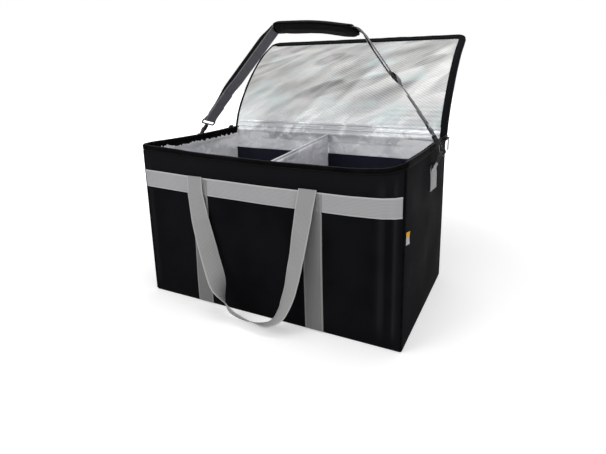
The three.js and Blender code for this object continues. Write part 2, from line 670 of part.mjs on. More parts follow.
function hookGeometry() {
  const half = HOOK_THICKNESS / 2;
  const body = extruded(hookOutline(), HOOK_THICKNESS, 10).translate(0, 0, -half);
  const collar = shankPin(HOOK_COLLAR_RADIUS, HOOK_COLLAR_BOTTOM, HOOK_COLLAR_TOP);
  const through = HOOK_COLLAR_RADIUS + 1;
  const windowHalf = SWIVEL_HEAD_RADIUS + GAP;
  const windowTop = WINDOW_LOW + SWIVEL_WINDOW;
  const window = box(-windowHalf, windowHalf, WINDOW_LOW, windowTop, -through, through);
  const bore = shankPin(SWIVEL_STEM_RADIUS + GAP, WINDOW_LOW + 1, HOOK_COLLAR_TOP + 1);
  const [pinX, pinY] = GATE_PIVOT;
  const slotHalf = GATE_THICKNESS / 2 + GAP;
  const room = GATE_EYE_RADIUS + GAP;
  const low = pinY - HOOK_THROAT - 2;
  const deep = pinX - GATE_EYE_RADIUS - 1;
  const slot = box(deep, pinX + 2 * GATE_CHEEK, low, pinY + room, -slotHalf, slotHalf);
  const slotted = joined(body, collar)
    .subtract(solid(window))
    .subtract(solid(bore))
    .subtract(solid(slot));
  return geometryOf(slotted.add(solid(acrossPin(pinX, pinY, GATE_PIN_RADIUS, HOOK_THICKNESS - GAP))));
}

// The sprung gate: a lever from its pin down to the hook's nose, with a thumb bump outside
function gateGeometry() {
  const [a, b] = GATE_PIVOT;
  const noseTop = HOOK_OUTER * Math.sin(radians(HOOK_NOSE_ANGLE)) + GAP;
  const inner = a - GATE_HALF;
  const outer = a + GATE_HALF;
  const thumb = outer + GATE_THUMB;
  const top = b - GATE_EYE_RADIUS - 2;
  const lever = outlineOf([
    [inner, noseTop], [outer, noseTop], [outer, top - 5], [thumb, top - 3.5], [thumb, top - 1.5],
    [outer, top], [a + GATE_EYE_RADIUS - GAP, b], [a - GATE_EYE_RADIUS + GAP, b], [inner, top + 1],
  ]);
  const half = GATE_THICKNESS / 2;
  const whole = joined(
    extruded(lever, GATE_THICKNESS).translate(0, 0, -half),
    acrossPin(a, b, GATE_EYE_RADIUS, GATE_THICKNESS),
  ).subtract(solid(acrossPin(a, b, GATE_PIN_RADIUS + GAP, HOOK_THICKNESS)));
  return geometryOf(whole);
}

// The swivel: a headed stem in the hook's collar, and the square eye that the webbing folds round
function swivelGeometry() {
  const headLow = WINDOW_LOW + GAP;
  const halfWidth = WEBBING_WIDTH / 2 + SWIVEL_EYE_MARGIN;
  const corner = SWIVEL_EYE_CORNER;
  const right = halfWidth - corner;
  const low = SWIVEL_EYE_BOTTOM + corner;
  const high = SWIVEL_EYE_TOP - corner;
  const quarter = { radius: corner, sweep: Math.PI / 2 };
  const corners = [
    { a: right, b: high, start: 0, ...quarter }, { a: -right, b: high, start: Math.PI / 2, ...quarter },
    { a: -right, b: low, start: Math.PI, ...quarter }, { a: right, b: low, start: 1.5 * Math.PI, ...quarter },
  ];
  const place = (a, b) => new THREE.Vector3(0, b, a);
  const eye = wireLoop(roundedLoop(corners, 4, place), new THREE.Vector3(1, 0, 0), WIRE_RADIUS);
  const head = shankPin(SWIVEL_HEAD_RADIUS, headLow, headLow + SWIVEL_HEAD);
  const stem = shankPin(SWIVEL_STEM_RADIUS, headLow + 1, SWIVEL_EYE_BOTTOM);
  return geometryOf(joined(eye, head, stem));
}

function addSnapHook(name, side) {
  const frame = hookFrame(side);
  const plane = strapPlane();
  piece(plane, `hook_${name}`, hookGeometry().applyMatrix4(frame), 'hardware');
  piece(plane, `gate_${name}`, gateGeometry().applyMatrix4(frame), 'hardware');
  piece(plane, `swivel_${name}`, swivelGeometry().applyMatrix4(frame), 'hardware');
}

// Points of a line through the given corners, with each inner corner rounded
function roundedLine(corners, radius, steps) {
  const points = [corners[0]];
  for (let i = 1; i < corners.length - 1; i += 1) {
    const before = corners[i - 1].clone().sub(corners[i]).normalize();
    const after = corners[i + 1].clone().sub(corners[i]).normalize();
    const half = before.angleTo(after) / 2;
    const reach = radius / Math.tan(half);
    const centre = before.clone().add(after).normalize().multiplyScalar(radius / Math.sin(half)).add(corners[i]);
    const from = corners[i].clone().addScaledVector(before, reach).sub(centre);
    const to = corners[i].clone().addScaledVector(after, reach).sub(centre);
    const turn = Math.atan2(from.x * to.y - from.y * to.x, from.dot(to));
    for (let k = 0; k <= steps; k += 1) {
      const arm = from.clone().rotateAround(new THREE.Vector2(), (turn * k) / steps);
      points.push(centre.clone().add(arm));
    }
  }
  points.push(corners[corners.length - 1]);
  return points;
}

// The middle of a swivel eye's upper bar, in the strap's plane
function eyeOf(side) {
  const middle = new THREE.Vector3(0, SWIVEL_EYE_TOP, 0).applyMatrix4(hookFrame(side));
  return new THREE.Vector2(middle.x, middle.y);
}

// The strap's middle line from the left eye over the pad to the right eye, with arc lengths
function strapLine() {
  const leftEye = eyeOf(-1);
  const rightEye = eyeOf(1);
  const leftPad = new THREE.Vector2(...PAD_LEFT_END);
  const rightPad = new THREE.Vector2(...PAD_RIGHT_END);
  const crown = leftPad.clone().add(rightPad).multiplyScalar(0.5).add(new THREE.Vector2(0, PAD_CROWN));
  const start = leftPad.clone().sub(leftEye).normalize();
  const finish = rightPad.clone().sub(rightEye).normalize();
  const first = leftEye.clone().addScaledVector(start, LOOP_HOLE + WEBBING / 2);
  const last = rightEye.clone().addScaledVector(finish, LOOP_HOLE + WEBBING / 2);
  const corners = [first, leftPad, crown, rightPad, last];
  const points = roundedLine(corners, STRAP_BEND_RADIUS, 6);
  return { leftEye, rightEye, curve: curveThrough(points) };
}

// A polyline with its running length, and its place and direction at any length
function curveThrough(points) {
  const lengths = [0];
  for (let i = 1; i < points.length; i += 1) {
    lengths.push(lengths[i - 1] + points[i].distanceTo(points[i - 1]));
  }
  const total = lengths[lengths.length - 1];
  const at = (length) => {
    const found = lengths.findIndex((value) => value >= length - 1e-9);
    const i = Math.max(found, 1);
    const share = (length - lengths[i - 1]) / (lengths[i] - lengths[i - 1]);
    const place = points[i - 1].clone().lerp(points[i], share);
    const direction = points[i].clone().sub(points[i - 1]).normalize();
    return { place, direction };
  };
  return { lengths, total, at };
}

// Sections of a strip along the strap's line, with widths and heights given by functions
function stripAlong(curve, marks, width, low, high) {
  const across = new THREE.Vector3(0, 0, 1);
  const step = 0.5;
  return loft(marks.map((mark) => {
    const before = curve.at(Math.max(mark - step, 0));
    const after = curve.at(Math.min(mark + step, curve.total));
    const direction = before.direction.clone().add(after.direction).normalize();
    const place = curve.at(mark).place;
    const centre = new THREE.Vector3(place.x, place.y, 0);
    const tangent = new THREE.Vector3(direction.x, direction.y, 0);
    return stripSection(centre, tangent, across, width(mark), -high(mark), -low(mark));
  }));
}

// Folded webbing round an eye's bar
function eyeFold(eye) {
  const round = acrossPin(eye.x, eye.y, LOOP_RADIUS, WEBBING_WIDTH, 20);
  const hole = acrossPin(eye.x, eye.y, LOOP_HOLE, WEBBING_WIDTH + 2, 20);
  return { round: solid(round), hole: solid(hole) };
}

function addStrap() {
  const { leftEye, rightEye, curve } = strapLine();
  const plane = strapPlane();
  const padMiddle = curve.total / 2;
  const padStart = padMiddle - PAD_LENGTH / 2;
  const padEnd = padMiddle + PAD_LENGTH / 2;
  const adjusterAt = curve.total - ADJUSTER_DISTANCE;
  const single = -WEBBING / 2;
  const double = -WEBBING / 2 - WEBBING;
  const thin = [[padStart, padEnd], [adjusterAt + ADJUSTER_LENGTH, curve.total - STRAP_STITCHED]];
  const under = (mark) => (thin.some(([from, to]) => mark > from && mark < to) ? single : double);
  const edges = thin.flatMap(([from, to]) => [from, from + GAP, to - GAP, to]);
  const marks = [...curve.lengths, ...edges].sort((a, b) => a - b);
  const webbing = stripAlong(curve, marks, () => WEBBING_WIDTH, under, () => WEBBING / 2);
  const folds = [eyeFold(leftEye), eyeFold(rightEye)];
  const whole = folds.reduce((strap, fold) => strap.add(fold.round).subtract(fold.hole), solid(webbing));
  piece(plane, 'strap_webbing', geometryOf(whole), 'webbing');
  addPad(plane, curve, padStart, padEnd);
  addAdjuster(plane, curve.at(adjusterAt));
}

// The shoulder pad under the webbing, with half-round ends
function addPad(plane, curve, start, end) {
  const radius = PAD_WIDTH / 2;
  const width = (mark) => {
    const fromEnd = Math.min(mark - start, end - mark, radius);
    return 2 * Math.sqrt(radius ** 2 - (radius - fromEnd) ** 2);
  };
  const ends = PAD_END_SHARES.map((share) => share * radius);
  const marks = [
    ...ends.map((offset) => start + offset),
    ...curve.lengths.filter((length) => length > start + radius + 1 && length < end - radius - 1),
    ...ends.map((offset) => end - offset),
  ].sort((a, b) => a - b);
  const top = -WEBBING / 2 - GAP;
  const geometry = stripAlong(curve, marks, width, () => top - PAD, () => top);
  piece(plane, 'shoulder_pad', geometry, 'pad');
}

// A slide buckle on the strap's right leg: two bars over the webbing and one under it
function addAdjuster(plane, { place, direction }) {
  const half = ADJUSTER_LENGTH / 2;
  const slot = WEBBING_WIDTH / 2 + 2 * GAP;
  const rail = slot + ADJUSTER_RAIL;
  const upper = WEBBING / 2 + GAP;
  const lower = -WEBBING / 2 - WEBBING - GAP;
  const top = upper + ADJUSTER_WALL;
  const bottom = lower - ADJUSTER_WALL;
  const buckle = joined(
    box(-half, half, bottom, top, slot, rail),
    box(-half, half, bottom, top, -rail, -slot),
    box(-half, ADJUSTER_BAR - half, upper, top, -rail, rail),
    box(half - ADJUSTER_BAR, half, upper, top, -rail, rail),
    box(-ADJUSTER_BAR / 2, ADJUSTER_BAR / 2, bottom, lower, -rail, rail),
  );
  const along = new THREE.Vector3(direction.x, direction.y, 0);
  const outward = new THREE.Vector3(-direction.y, direction.x, 0);
  const basis = new THREE.Matrix4().makeBasis(along, outward, new THREE.Vector3(0, 0, 1));
  basis.setPosition(place.x, place.y, 0);
  piece(plane, 'strap_adjuster', geometryOf(buckle).applyMatrix4(basis), 'hardware');
}

// A zip slider beside the rim, with two lugs and the pin that its pull hangs on
function addSlider(name, side) {
  const face = TAPE_FACE + GAP;
  const z = BAG_HEIGHT;
  const bodyX = face + SLIDER_BODY;
  const pinX = bodyX + PULL_BARREL_RADIUS + GAP;
  const halfLength = SLIDER_LENGTH / 2;
  const halfHeight = SLIDER_HEIGHT / 2;
  const outline = roundedRectangle(halfLength, halfHeight, SLIDER_CORNER);
  const body = alongX(outline, face, bodyX).translate(0, SLIDER_Y, z);
  const inner = PULL_BARREL_LENGTH / 2 + GAP;
  const lug = (y0, y1) => {
    const shape = roundedRectangle(PULL_BARREL_RADIUS + GAP, PULL_LUG_HALF, PULL_LUG_HALF - 0.1);
    return alongY(shape, y0, y1).translate(pinX - GAP, 0, z);
  };
  const lugs = joined(
    lug(SLIDER_Y + inner, SLIDER_Y + inner + PULL_LUG),
    lug(SLIDER_Y - inner - PULL_LUG, SLIDER_Y - inner),
  );
  const pin = alongY(disc(pinX, z, PULL_PIN_RADIUS), SLIDER_Y - inner - 1, SLIDER_Y + inner + 1);
  const slider = geometryOf(solid(body).add(lugs).add(solid(pin)));
  const pieces = { [`slider_${name}`]: slider, [`pull_${name}`]: pullGeometry(pinX) };
  Object.entries(pieces).forEach(([key, geometry]) => {
    if (side < 0) {
      geometry.translate(0, -SLIDER_Y, 0).rotateZ(Math.PI).translate(0, SLIDER_Y, 0);
    }
    piece(bag, key, geometry, 'hardware');
  });
}

// A slider's pull: a barrel round the pin, a neck, and a flat blade with a hole near its end
function pullGeometry(pinX) {
  const z = BAG_HEIGHT;
  const y0 = SLIDER_Y - PULL_BARREL_LENGTH / 2;
  const y1 = SLIDER_Y + PULL_BARREL_LENGTH / 2;
  const x0 = pinX - PULL_THICKNESS / 2;
  const x1 = pinX + PULL_THICKNESS / 2;
  const half = (PULL_LENGTH - 2 * SLIDER_CORNER) / 2;
  const middle = z - PULL_LENGTH + half;
  const blade = roundedRectangle(PULL_WIDTH / 2, half, SLIDER_CORNER);
  const plate = alongX(blade, x0, x1).translate(0, SLIDER_Y, middle);
  const neck = box(x0, x1, y0, y1, middle, z - PULL_PIN_RADIUS - 1);
  const end = alongX(disc(SLIDER_Y, z - PULL_LENGTH + 2 * PULL_HOLE_RADIUS, PULL_HOLE_RADIUS), x0 - 1, x1 + 1);
  const pull = joined(alongY(disc(pinX, z, PULL_BARREL_RADIUS), y0, y1), plate, neck)
    .subtract(solid(alongY(disc(pinX, z, PULL_PIN_RADIUS + GAP), y0 - 1, y1 + 1)))
    .subtract(solid(end));
  return geometryOf(pull);
}

addWalls();
addBase();
addBackBoard();
addPiping();
addRimTape();
addBands();
addSideLabel();
addLid();
addHandles();
addDivider();
Object.entries({ left: -1, right: 1 }).forEach(([name, side]) => {
  addTab(name, side);
  addRing(name, side);
  addSnapHook(name, side);
  addSlider(name, side);
});
addStrap();

export default bag;
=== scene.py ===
"""The soft and finished surfaces of an open insulated food delivery bag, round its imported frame."""

import math

import bmesh
import bpy
import numpy as np
from bpy.props import FloatProperty, FloatVectorProperty, PointerProperty
from mathutils import Matrix, Vector, noise


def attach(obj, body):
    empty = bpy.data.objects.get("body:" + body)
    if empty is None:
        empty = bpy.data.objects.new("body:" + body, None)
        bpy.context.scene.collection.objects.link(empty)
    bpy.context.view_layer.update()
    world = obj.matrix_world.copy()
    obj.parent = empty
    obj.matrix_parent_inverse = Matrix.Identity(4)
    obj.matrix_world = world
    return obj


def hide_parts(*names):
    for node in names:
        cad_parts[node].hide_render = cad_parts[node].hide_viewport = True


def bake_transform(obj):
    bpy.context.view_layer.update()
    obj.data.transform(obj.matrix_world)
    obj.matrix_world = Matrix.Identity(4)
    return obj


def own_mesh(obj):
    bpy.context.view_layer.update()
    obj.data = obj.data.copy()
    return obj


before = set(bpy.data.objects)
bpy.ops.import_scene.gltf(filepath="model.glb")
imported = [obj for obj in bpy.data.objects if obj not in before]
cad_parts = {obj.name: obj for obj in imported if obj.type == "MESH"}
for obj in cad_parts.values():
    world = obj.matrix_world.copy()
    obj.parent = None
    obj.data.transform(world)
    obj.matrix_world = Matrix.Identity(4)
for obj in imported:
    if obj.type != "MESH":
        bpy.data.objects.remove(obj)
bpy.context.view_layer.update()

bl_info = {
    "name": "Insulated delivery bag",
    "version": (1, 0, 0),
    "blender": (4, 5, 0),
    "location": "3D View > Sidebar > Bag",
    "description": "Builds the cloth, foil, webbing and finishes of an insulated delivery bag",
    "category": "Object",
}

# Sizes in millimetres, in the frame of the bag: X right, Y back, Z up
WIDTH, DEPTH, HEIGHT = 600.0, 350.0, 350.0
HALF_X, HALF_Y = WIDTH / 2, DEPTH / 2
CORNER, FLOOR_CORNER = 6.5, 4.0
# The share of the rim's sag that is taken up under the band's top
SAG_BELOW_BAND = 0.57
CLOTH = 1.2
FOAM_IN, FOAM_OUT = 6.4, 1.5
LINING_IN = 7.2
BAND_LOW, BAND_HIGH = 257.0, 295.0
BAND_LEFT, BAND_RIGHT = -294.5, 295.0
LEFT_TOP_X, LEFT_FOOT_X, RIGHT_X = -143.0, -148.0, 123.0
# The blank label in the right side's front seam, and the height in metres where its colour changes
LABEL_Y, LABEL_Z, LABEL_TOP = (-169.5, -157.5), (206.0, 229.0), 0.2225

# How high the sagging rim stands, by its place round the bag from the back left corner
RIM = [
    (0, 350), (20, 349.5), (90, 348), (175, 347.5), (250, 349), (320, 351.5), (346, 351), (356, 348.5),
    (443, 344), (514, 340), (597, 338), (666, 336), (849, 336), (891, 338.5), (918, 342), (931, 346),
    (943, 351), (952, 355), (1000, 353.5), (1100, 351), (1200, 351.5), (1290, 350), (1450, 348.5),
    (1600, 349), (1750, 348.5), (1900, 350),
]
# Distances round the bag start at its back left corner and go down the left side, then the front
FRONT_START, RIGHT_START, BACK_START = DEPTH, WIDTH + DEPTH, WIDTH + 2 * DEPTH
PERIMETER = 2 * (WIDTH + DEPTH)
# The length of a stitch and its gap, as a share of the stitch
STITCH_PITCH = 1.55
WEB_THICK, WEB_TURN = 1.5, 3.15
UPRIGHT_HALF = 20.0

# The open lid's inner face in side view, from its hinge to its far edge
LID_LINE = [
    (175, 350), (182.5, 372), (190, 391), (219, 437), (253, 479), (288, 515), (330, 549), (370, 573),
    (410, 594),
]
LID_HALF = 301.3
LID_LENGTH = 351.3
LID_CORNER = 24.0
LID_BORDER = 17.0
# The foil's edge lies under the border: it stops short of the far end and reaches further on the left
LID_FOIL_EDGE, LID_FOIL_SHORT, LID_FOIL_LEFT = 15.1, 9.0, 7.0
LID_SPLIT = 175.65
LID_THICK = 13.3

# The carrying handles' hanging line, as shares of the way across and of the drop
HANDLE_LINE = [
    (0, 0), (0.012, 0.12), (0.04, 0.235), (0.08, 0.36), (0.125, 0.472), (0.172, 0.594), (0.223, 0.712),
    (0.262, 0.803), (0.3, 0.872), (0.35, 0.93), (0.407, 0.97), (0.5, 0.998), (0.6, 1), (0.69, 0.982),
    (0.76, 0.945), (0.82, 0.882), (0.862, 0.79), (0.89, 0.69), (0.922, 0.52), (0.96, 0.268), (0.98, 0.123),
    (1, 0),
]
HANDLE_X = (-153.0, 116.0)
HANDLE_DROP = 284.0
HANDLE_TOP = 292.0
HANDLE_OUT = 179.5
HANDLE_LEAN = math.radians(7.5)
# What hangs under this height is pressed up by this share of its depth, to lie over the floor
FLOOR_REACH, FLOOR_PRESS = 12, 0.36
# How far the webbing has turned about its own line, in degrees, by its share of the handle's length
HANDLE_TWIST = [
    (0, 0), (0.06, 4), (0.14, 20), (0.22, 34), (0.29, 40), (0.335, 56), (0.365, 88), (0.385, 120), (0.41, 138),
    (0.44, 143), (0.48, 136), (0.52, 126), (0.545, 112), (0.565, 92), (0.59, 66), (0.62, 44), (0.66, 32),
    (0.7, 26), (0.76, 20), (0.84, 12), (0.92, 2), (1, 0),
]

# The shoulder strap, in its leaning plane: X, and the distance up the plane from its swing line
STRAP_Y, STRAP_Z = 30.0, 318.089
STRAP_UP = np.array([0, 0.27396, 0.96174])
STRAP_ACROSS = np.array([0, -0.96174, 0.27396])
EYE = (289.46, 66.36)
PAD_LEFT, PAD_RIGHT, PAD_CROWN = (-108.0, 309.0), (115.0, 286.0), 8.0
PAD_LENGTH, PAD_WIDTH, PAD_THICK = 228.0, 60.0, 8.0
STRAP_BEND, CROWN_BEND = 30.0, 620.0
BUCKLE_FROM_END = 137.0
RING_BAR = (304.2, 310.0)
TAB_TURN = 0.07
# As the lid closes the rings lean out, and the tops of the strap's end loops slide down along the strap
RING_LEAN = 0.384
LOOP_LENGTH, LOOP_CLOSED = 86.0, 26.0

# The camera, fitted to the bag's corners in the photograph
FOCAL_SHARE = 442.2 / 606
CAMERA_PLACE = (0.481, -0.8804, 0.5064)
CAMERA_TURNS = (26.13, 12.837, -0.884)
SENSOR_WIDTH = 36
LAMP_SIZE = 1.4


def sizes():
    return bpy.context.scene.bag_sizes


def colour(name):
    return tuple(getattr(bpy.context.scene.bag_colours, name))


# Small sums

def smooth(value, low=0.0, high=1.0):
    share = np.clip((np.asarray(value, float) - low) / (high - low), 0, 1)
    return share * share * (3 - 2 * share)


def unit(vectors):
    vectors = np.asarray(vectors, float)
    return vectors / np.maximum(np.linalg.norm(vectors, axis=-1, keepdims=True), 1e-9)


def ripple(a, b, scale, seed, octaves=2):
    """Even noise from -1 to 1 over two coordinates, the same on every run."""
    a, b = np.broadcast_arrays(np.asarray(a, float), np.asarray(b, float))
    value = [
        noise.fractal(Vector((x / scale, y / scale, seed)), 1.0, 2.0, octaves)
        for x, y in zip(a.ravel(), b.ravel())
    ]
    return np.array(value).reshape(a.shape)


def along(points):
    """Running length of a line of points."""
    steps = np.linalg.norm(np.diff(points, axis=0), axis=1)
    return np.concatenate([[0], np.cumsum(steps)])


def follow(field, length, want):
    """The values of a field of rows at wanted lengths."""
    return np.stack([np.interp(want, length, field[:, k]) for k in range(field.shape[1])], 1)


def resample(points, count):
    length = along(points)
    return follow(points, length, np.linspace(0, length[-1], count))


def tangents(points):
    return unit(np.gradient(points, axis=0))


def curve_through(points, steps=12):
    """A centripetal spline through points."""
    points = np.asarray(points, float)
    ends = [2 * points[0] - points[1], *points, 2 * points[-1] - points[-2]]
    made = []
    for p0, p1, p2, p3 in zip(ends, ends[1:], ends[2:], ends[3:]):
        d0, d1, d2 = (np.sqrt(np.linalg.norm(b - a)) for a, b in ((p0, p1), (p1, p2), (p2, p3)))
        m1 = ((p1 - p0) / d0 - (p2 - p0) / (d0 + d1) + (p2 - p1) / d1) * d1
        m2 = ((p2 - p1) / d1 - (p3 - p1) / (d1 + d2) + (p3 - p2) / d2) * d1
        for t in np.linspace(0, 1, steps, endpoint=False):
            made.append(
                (2 * t**3 - 3 * t**2 + 1) * p1 + (t**3 - 2 * t**2 + t) * m1
                + (3 * t**2 - 2 * t**3) * p2 + (t**3 - t**2) * m2
            )
    made.append(points[-1])
    return np.array(made)


# Meshes

def cells(rows, columns, wrap_rows=False, wrap_columns=False):
    """Quads over a field of points, row by row."""
    faces = []
    for i in range(rows if wrap_rows else rows - 1):
        for j in range(columns if wrap_columns else columns - 1):
            near, far = i * columns, ((i + 1) % rows) * columns
            right = (j + 1) % columns
            faces.append((near + j, near + right, far + right, far + j))
    return faces


def cloth_grid(across, up):
    """Cloth coordinates of a field of points: one for each row, one for each column."""
    return np.stack(np.broadcast_arrays(across[:, None], up[None, :]), -1).reshape(-1, 2)


def piece(name, points, faces, finish, uv=None, slot=None, sharp=38, shut=True, period=None):
    """A named object in metres from points in millimetres, with its cloth coordinates in metres."""
    mesh = bpy.data.meshes.new(name)
    mesh.from_pydata((np.asarray(points, float) / 1000).tolist(), [], faces)
    if uv is not None:
        corners = np.empty(len(mesh.loops), np.int32)
        mesh.loops.foreach_get("vertex_index", corners)
        values = np.asarray(uv, float)[corners]
        if period:
            face_of = np.repeat(np.arange(len(faces)), [len(f) for f in faces])
            widest = np.full(len(faces), -np.inf)
            np.maximum.at(widest, face_of, values[:, 0])
            values[:, 0] += np.where(widest[face_of] - values[:, 0] > period / 2, period, 0)
        layer = mesh.uv_layers.new(name="Cloth")
        layer.data.foreach_set("uv", (values / 1000).astype(np.float32).ravel())
    if shut:
        work = bmesh.new()
        work.from_mesh(mesh)
        bmesh.ops.recalc_face_normals(work, faces=work.faces)
        work.to_mesh(mesh)
        work.free()
    mesh.materials.append(finish)
    shade(mesh, sharp)
    obj = bpy.data.objects.new(name, mesh)
    bpy.context.scene.collection.objects.link(obj)
    return obj


def shade(mesh, sharp):
    mesh.polygons.foreach_set("use_smooth", [True] * len(mesh.polygons))
    mesh.set_sharp_from_angle(angle=math.radians(sharp))


def settle(obj, sharp=38):
    """Works an object's modifiers into its mesh."""
    graph = bpy.context.evaluated_depsgraph_get()
    mesh = bpy.data.meshes.new_from_object(obj.evaluated_get(graph))
    obj.modifiers.clear()
    obj.data = mesh
    shade(mesh, sharp)


def mark(obj, name, values):
    """A value at each point of a piece, for its material to read."""
    kept = obj.data.attributes.new(name, "FLOAT", "POINT")
    kept.data.foreach_set("value", values.astype(np.float32).ravel())


def slab(front, back):
    """A closed sheet between two fields of points."""
    rows, columns = front.shape[:2]
    count = rows * columns
    faces = cells(rows, columns)
    faces += [tuple(k + count for k in face[::-1]) for face in cells(rows, columns)]
    edge = rim_of(rows, columns)
    for a, b in zip(edge, edge[1:] + edge[:1]):
        faces.append((b, a, a + count, b + count))
    return np.concatenate([front.reshape(-1, 3), back.reshape(-1, 3)]), faces


def rim_of(rows, columns):
    """The places of a field's outer points, in order."""
    edge = list(range(columns))
    edge += [i * columns + columns - 1 for i in range(1, rows)]
    edge += [(rows - 1) * columns + j for j in range(columns - 2, -1, -1)]
    edge += [i * columns for i in range(rows - 2, 0, -1)]
    return edge


def lofted(rings, closed=False):
    """A solid through a row of closed sections."""
    rows, columns = rings.shape[:2]
    faces = cells(rows, columns, wrap_rows=closed, wrap_columns=True)
    if not closed:
        faces.append(tuple(range(columns))[::-1])
        faces.append(tuple((rows - 1) * columns + k for k in range(columns)))
    return rings.reshape(-1, 3), faces


def tube(line, radius, sides=10, closed=False, flat=1.0, plane=None):
    """A round or flattened wire along a line."""
    line = np.asarray(line, float)
    if closed:
        heading = unit(np.roll(line, -1, 0) - np.roll(line, 1, 0))
    else:
        heading = tangents(line)
    side = np.broadcast_to(np.asarray(plane if plane is not None else (0, 0, 1), float), line.shape)
    side = unit(side - heading * np.sum(side * heading, 1, keepdims=True))
    other = np.cross(heading, side)
    turn = 2 * np.pi * np.arange(sides) / sides
    rings = (line[:, None] + radius * np.cos(turn)[None, :, None] * other[:, None]
             + radius * flat * np.sin(turn)[None, :, None] * side[:, None])
    return lofted(rings, closed)


def webbing(centres, across, width, thick, columns=8):
    """A woven strip: its soft edged section carried along a line. across points over its width."""
    centres = np.asarray(centres, float)
    across = unit(np.broadcast_to(across, centres.shape))
    normal = unit(np.cross(tangents(centres), across))
    half = width / 2
    share = np.linspace(-1, 1, columns + 1)
    spread = np.sign(share) * np.abs(share) ** 0.8 * (half - 0.35)
    height = thick / 2 * (1 - 0.4 * np.abs(share) ** 6)
    a = np.concatenate([spread, [half], spread[::-1], [-half]])
    h = np.concatenate([height, [0], -height[::-1], [0]])
    rings = (centres[:, None] + a[None, :, None] * across[:, None] + h[None, :, None] * normal[:, None])
    points, faces = lofted(rings)
    return points, faces, cloth_grid(along(centres), a)


def studs(places, heading, outward, size):
    """Small blocks at places, such as stitches and zip teeth: size is along, out and across."""
    places, heading, outward = (np.asarray(v, float) for v in (places, heading, outward))
    heading = unit(heading)
    outward = unit(outward - heading * np.sum(outward * heading, 1, keepdims=True))
    side = np.cross(heading, outward)
    a, o, c = (s / 2 for s in size)
    block = [(-a, -o, -c), (a, -o, -c), (a, -o, c), (-a, -o, c),
             (-a * 0.7, o, -c * 0.7), (a * 0.7, o, -c * 0.7), (a * 0.7, o, c * 0.7), (-a * 0.7, o, c * 0.7)]
    sides = [(0, 1, 2, 3), (7, 6, 5, 4), (0, 4, 5, 1), (1, 5, 6, 2), (2, 6, 7, 3), (3, 7, 4, 0)]
    points = np.concatenate([
        (places + heading * x + outward * y + side * z)[:, None] for x, y, z in block], 1).reshape(-1, 3)
    faces = [tuple(8 * n + k for k in face) for n in range(len(places)) for face in sides]
    return points, faces


def sewn(line, outward):
    """A run of stitches along a line of points on a surface."""
    stitch = sizes().stitch * 1000
    pitch = stitch * STITCH_PITCH
    outward = np.broadcast_to(np.asarray(outward, float), line.shape)
    length = along(line)
    at = np.arange(pitch / 2, length[-1], pitch)
    fields = (follow(field, length, at) for field in (line, tangents(line), outward))
    return studs(*fields, (stitch, 0.5, 0.55))


def gathered(parts):
    """Several lists of points and faces as one."""
    points, faces, count = [], [], 0
    for some, quads in parts:
        points.append(some)
        faces += [tuple(k + count for k in quad) for quad in quads]
        count += len(some)
    return np.concatenate(points), faces


def plate_rows(half, near, far, corner, inset, straight, steps=7):
    """Length and half width at each row of a plate's plan, inset all round. corner has the radii of its near
    and its far corners, 0 for a square end."""
    near_corner, far_corner = corner
    rows = []
    if near_corner:
        radius = max(near_corner - inset, 0.8)
        for k in range(steps):
            turn = math.pi / 2 * k / steps
            rows.append((near + inset + radius * (1 - math.cos(turn)),
                         half - inset - radius * (1 - math.sin(turn))))
    else:
        rows.append((near, half - inset))
    rows += [(t, half - inset) for t in straight]
    if far_corner:
        radius = max(far_corner - inset, 0.8)
        for k in range(1, steps + 1):
            turn = math.pi / 2 * k / steps
            rows.append((far - inset - radius * (1 - math.sin(turn)),
                         half - inset - radius * (1 - math.cos(turn))))
    else:
        rows.append((far, half - inset))
    return np.array(rows)


def plate(rows_at, levels, columns, place):
    """A padded plate: loops of its plan at stacked levels (inset, height), filled at both faces."""
    share = np.linspace(-1, 1, columns)
    points, uvs, faces = [], [], []

    def field(inset, height):
        rows = rows_at(inset)
        t = np.repeat(rows[:, :1], columns, 1)
        x = rows[:, 1:] * share[None, :]
        return x, t, np.full_like(x, height)

    rows = len(rows_at(levels[0][0]))
    edge = rim_of(rows, columns)
    for inset, height in (levels[0], levels[-1]):
        x, t, h = field(inset, height)
        points.append(place(x, t, h).reshape(-1, 3))
        uvs.append(np.stack([x, t], -1).reshape(-1, 2))
    size = rows * columns
    faces += cells(rows, columns)
    faces += [tuple(k + size for k in face[::-1]) for face in cells(rows, columns)]
    loops = [edge]
    start = 2 * size
    for inset, height in levels[1:-1]:
        x, t, h = (v.reshape(-1)[edge] for v in field(inset, height))
        points.append(place(x, t, h))
        uvs.append(np.stack([x, t], -1))
        loops.append(list(range(start, start + len(edge))))
        start += len(edge)
    loops.append([k + size for k in edge])
    for low, high in zip(loops, loops[1:]):
        for k in range(len(edge)):
            after = (k + 1) % len(edge)
            faces.append((low[after], low[k], high[k], high[after]))
    return np.concatenate(points), faces, np.concatenate(uvs)


# The walls' shape

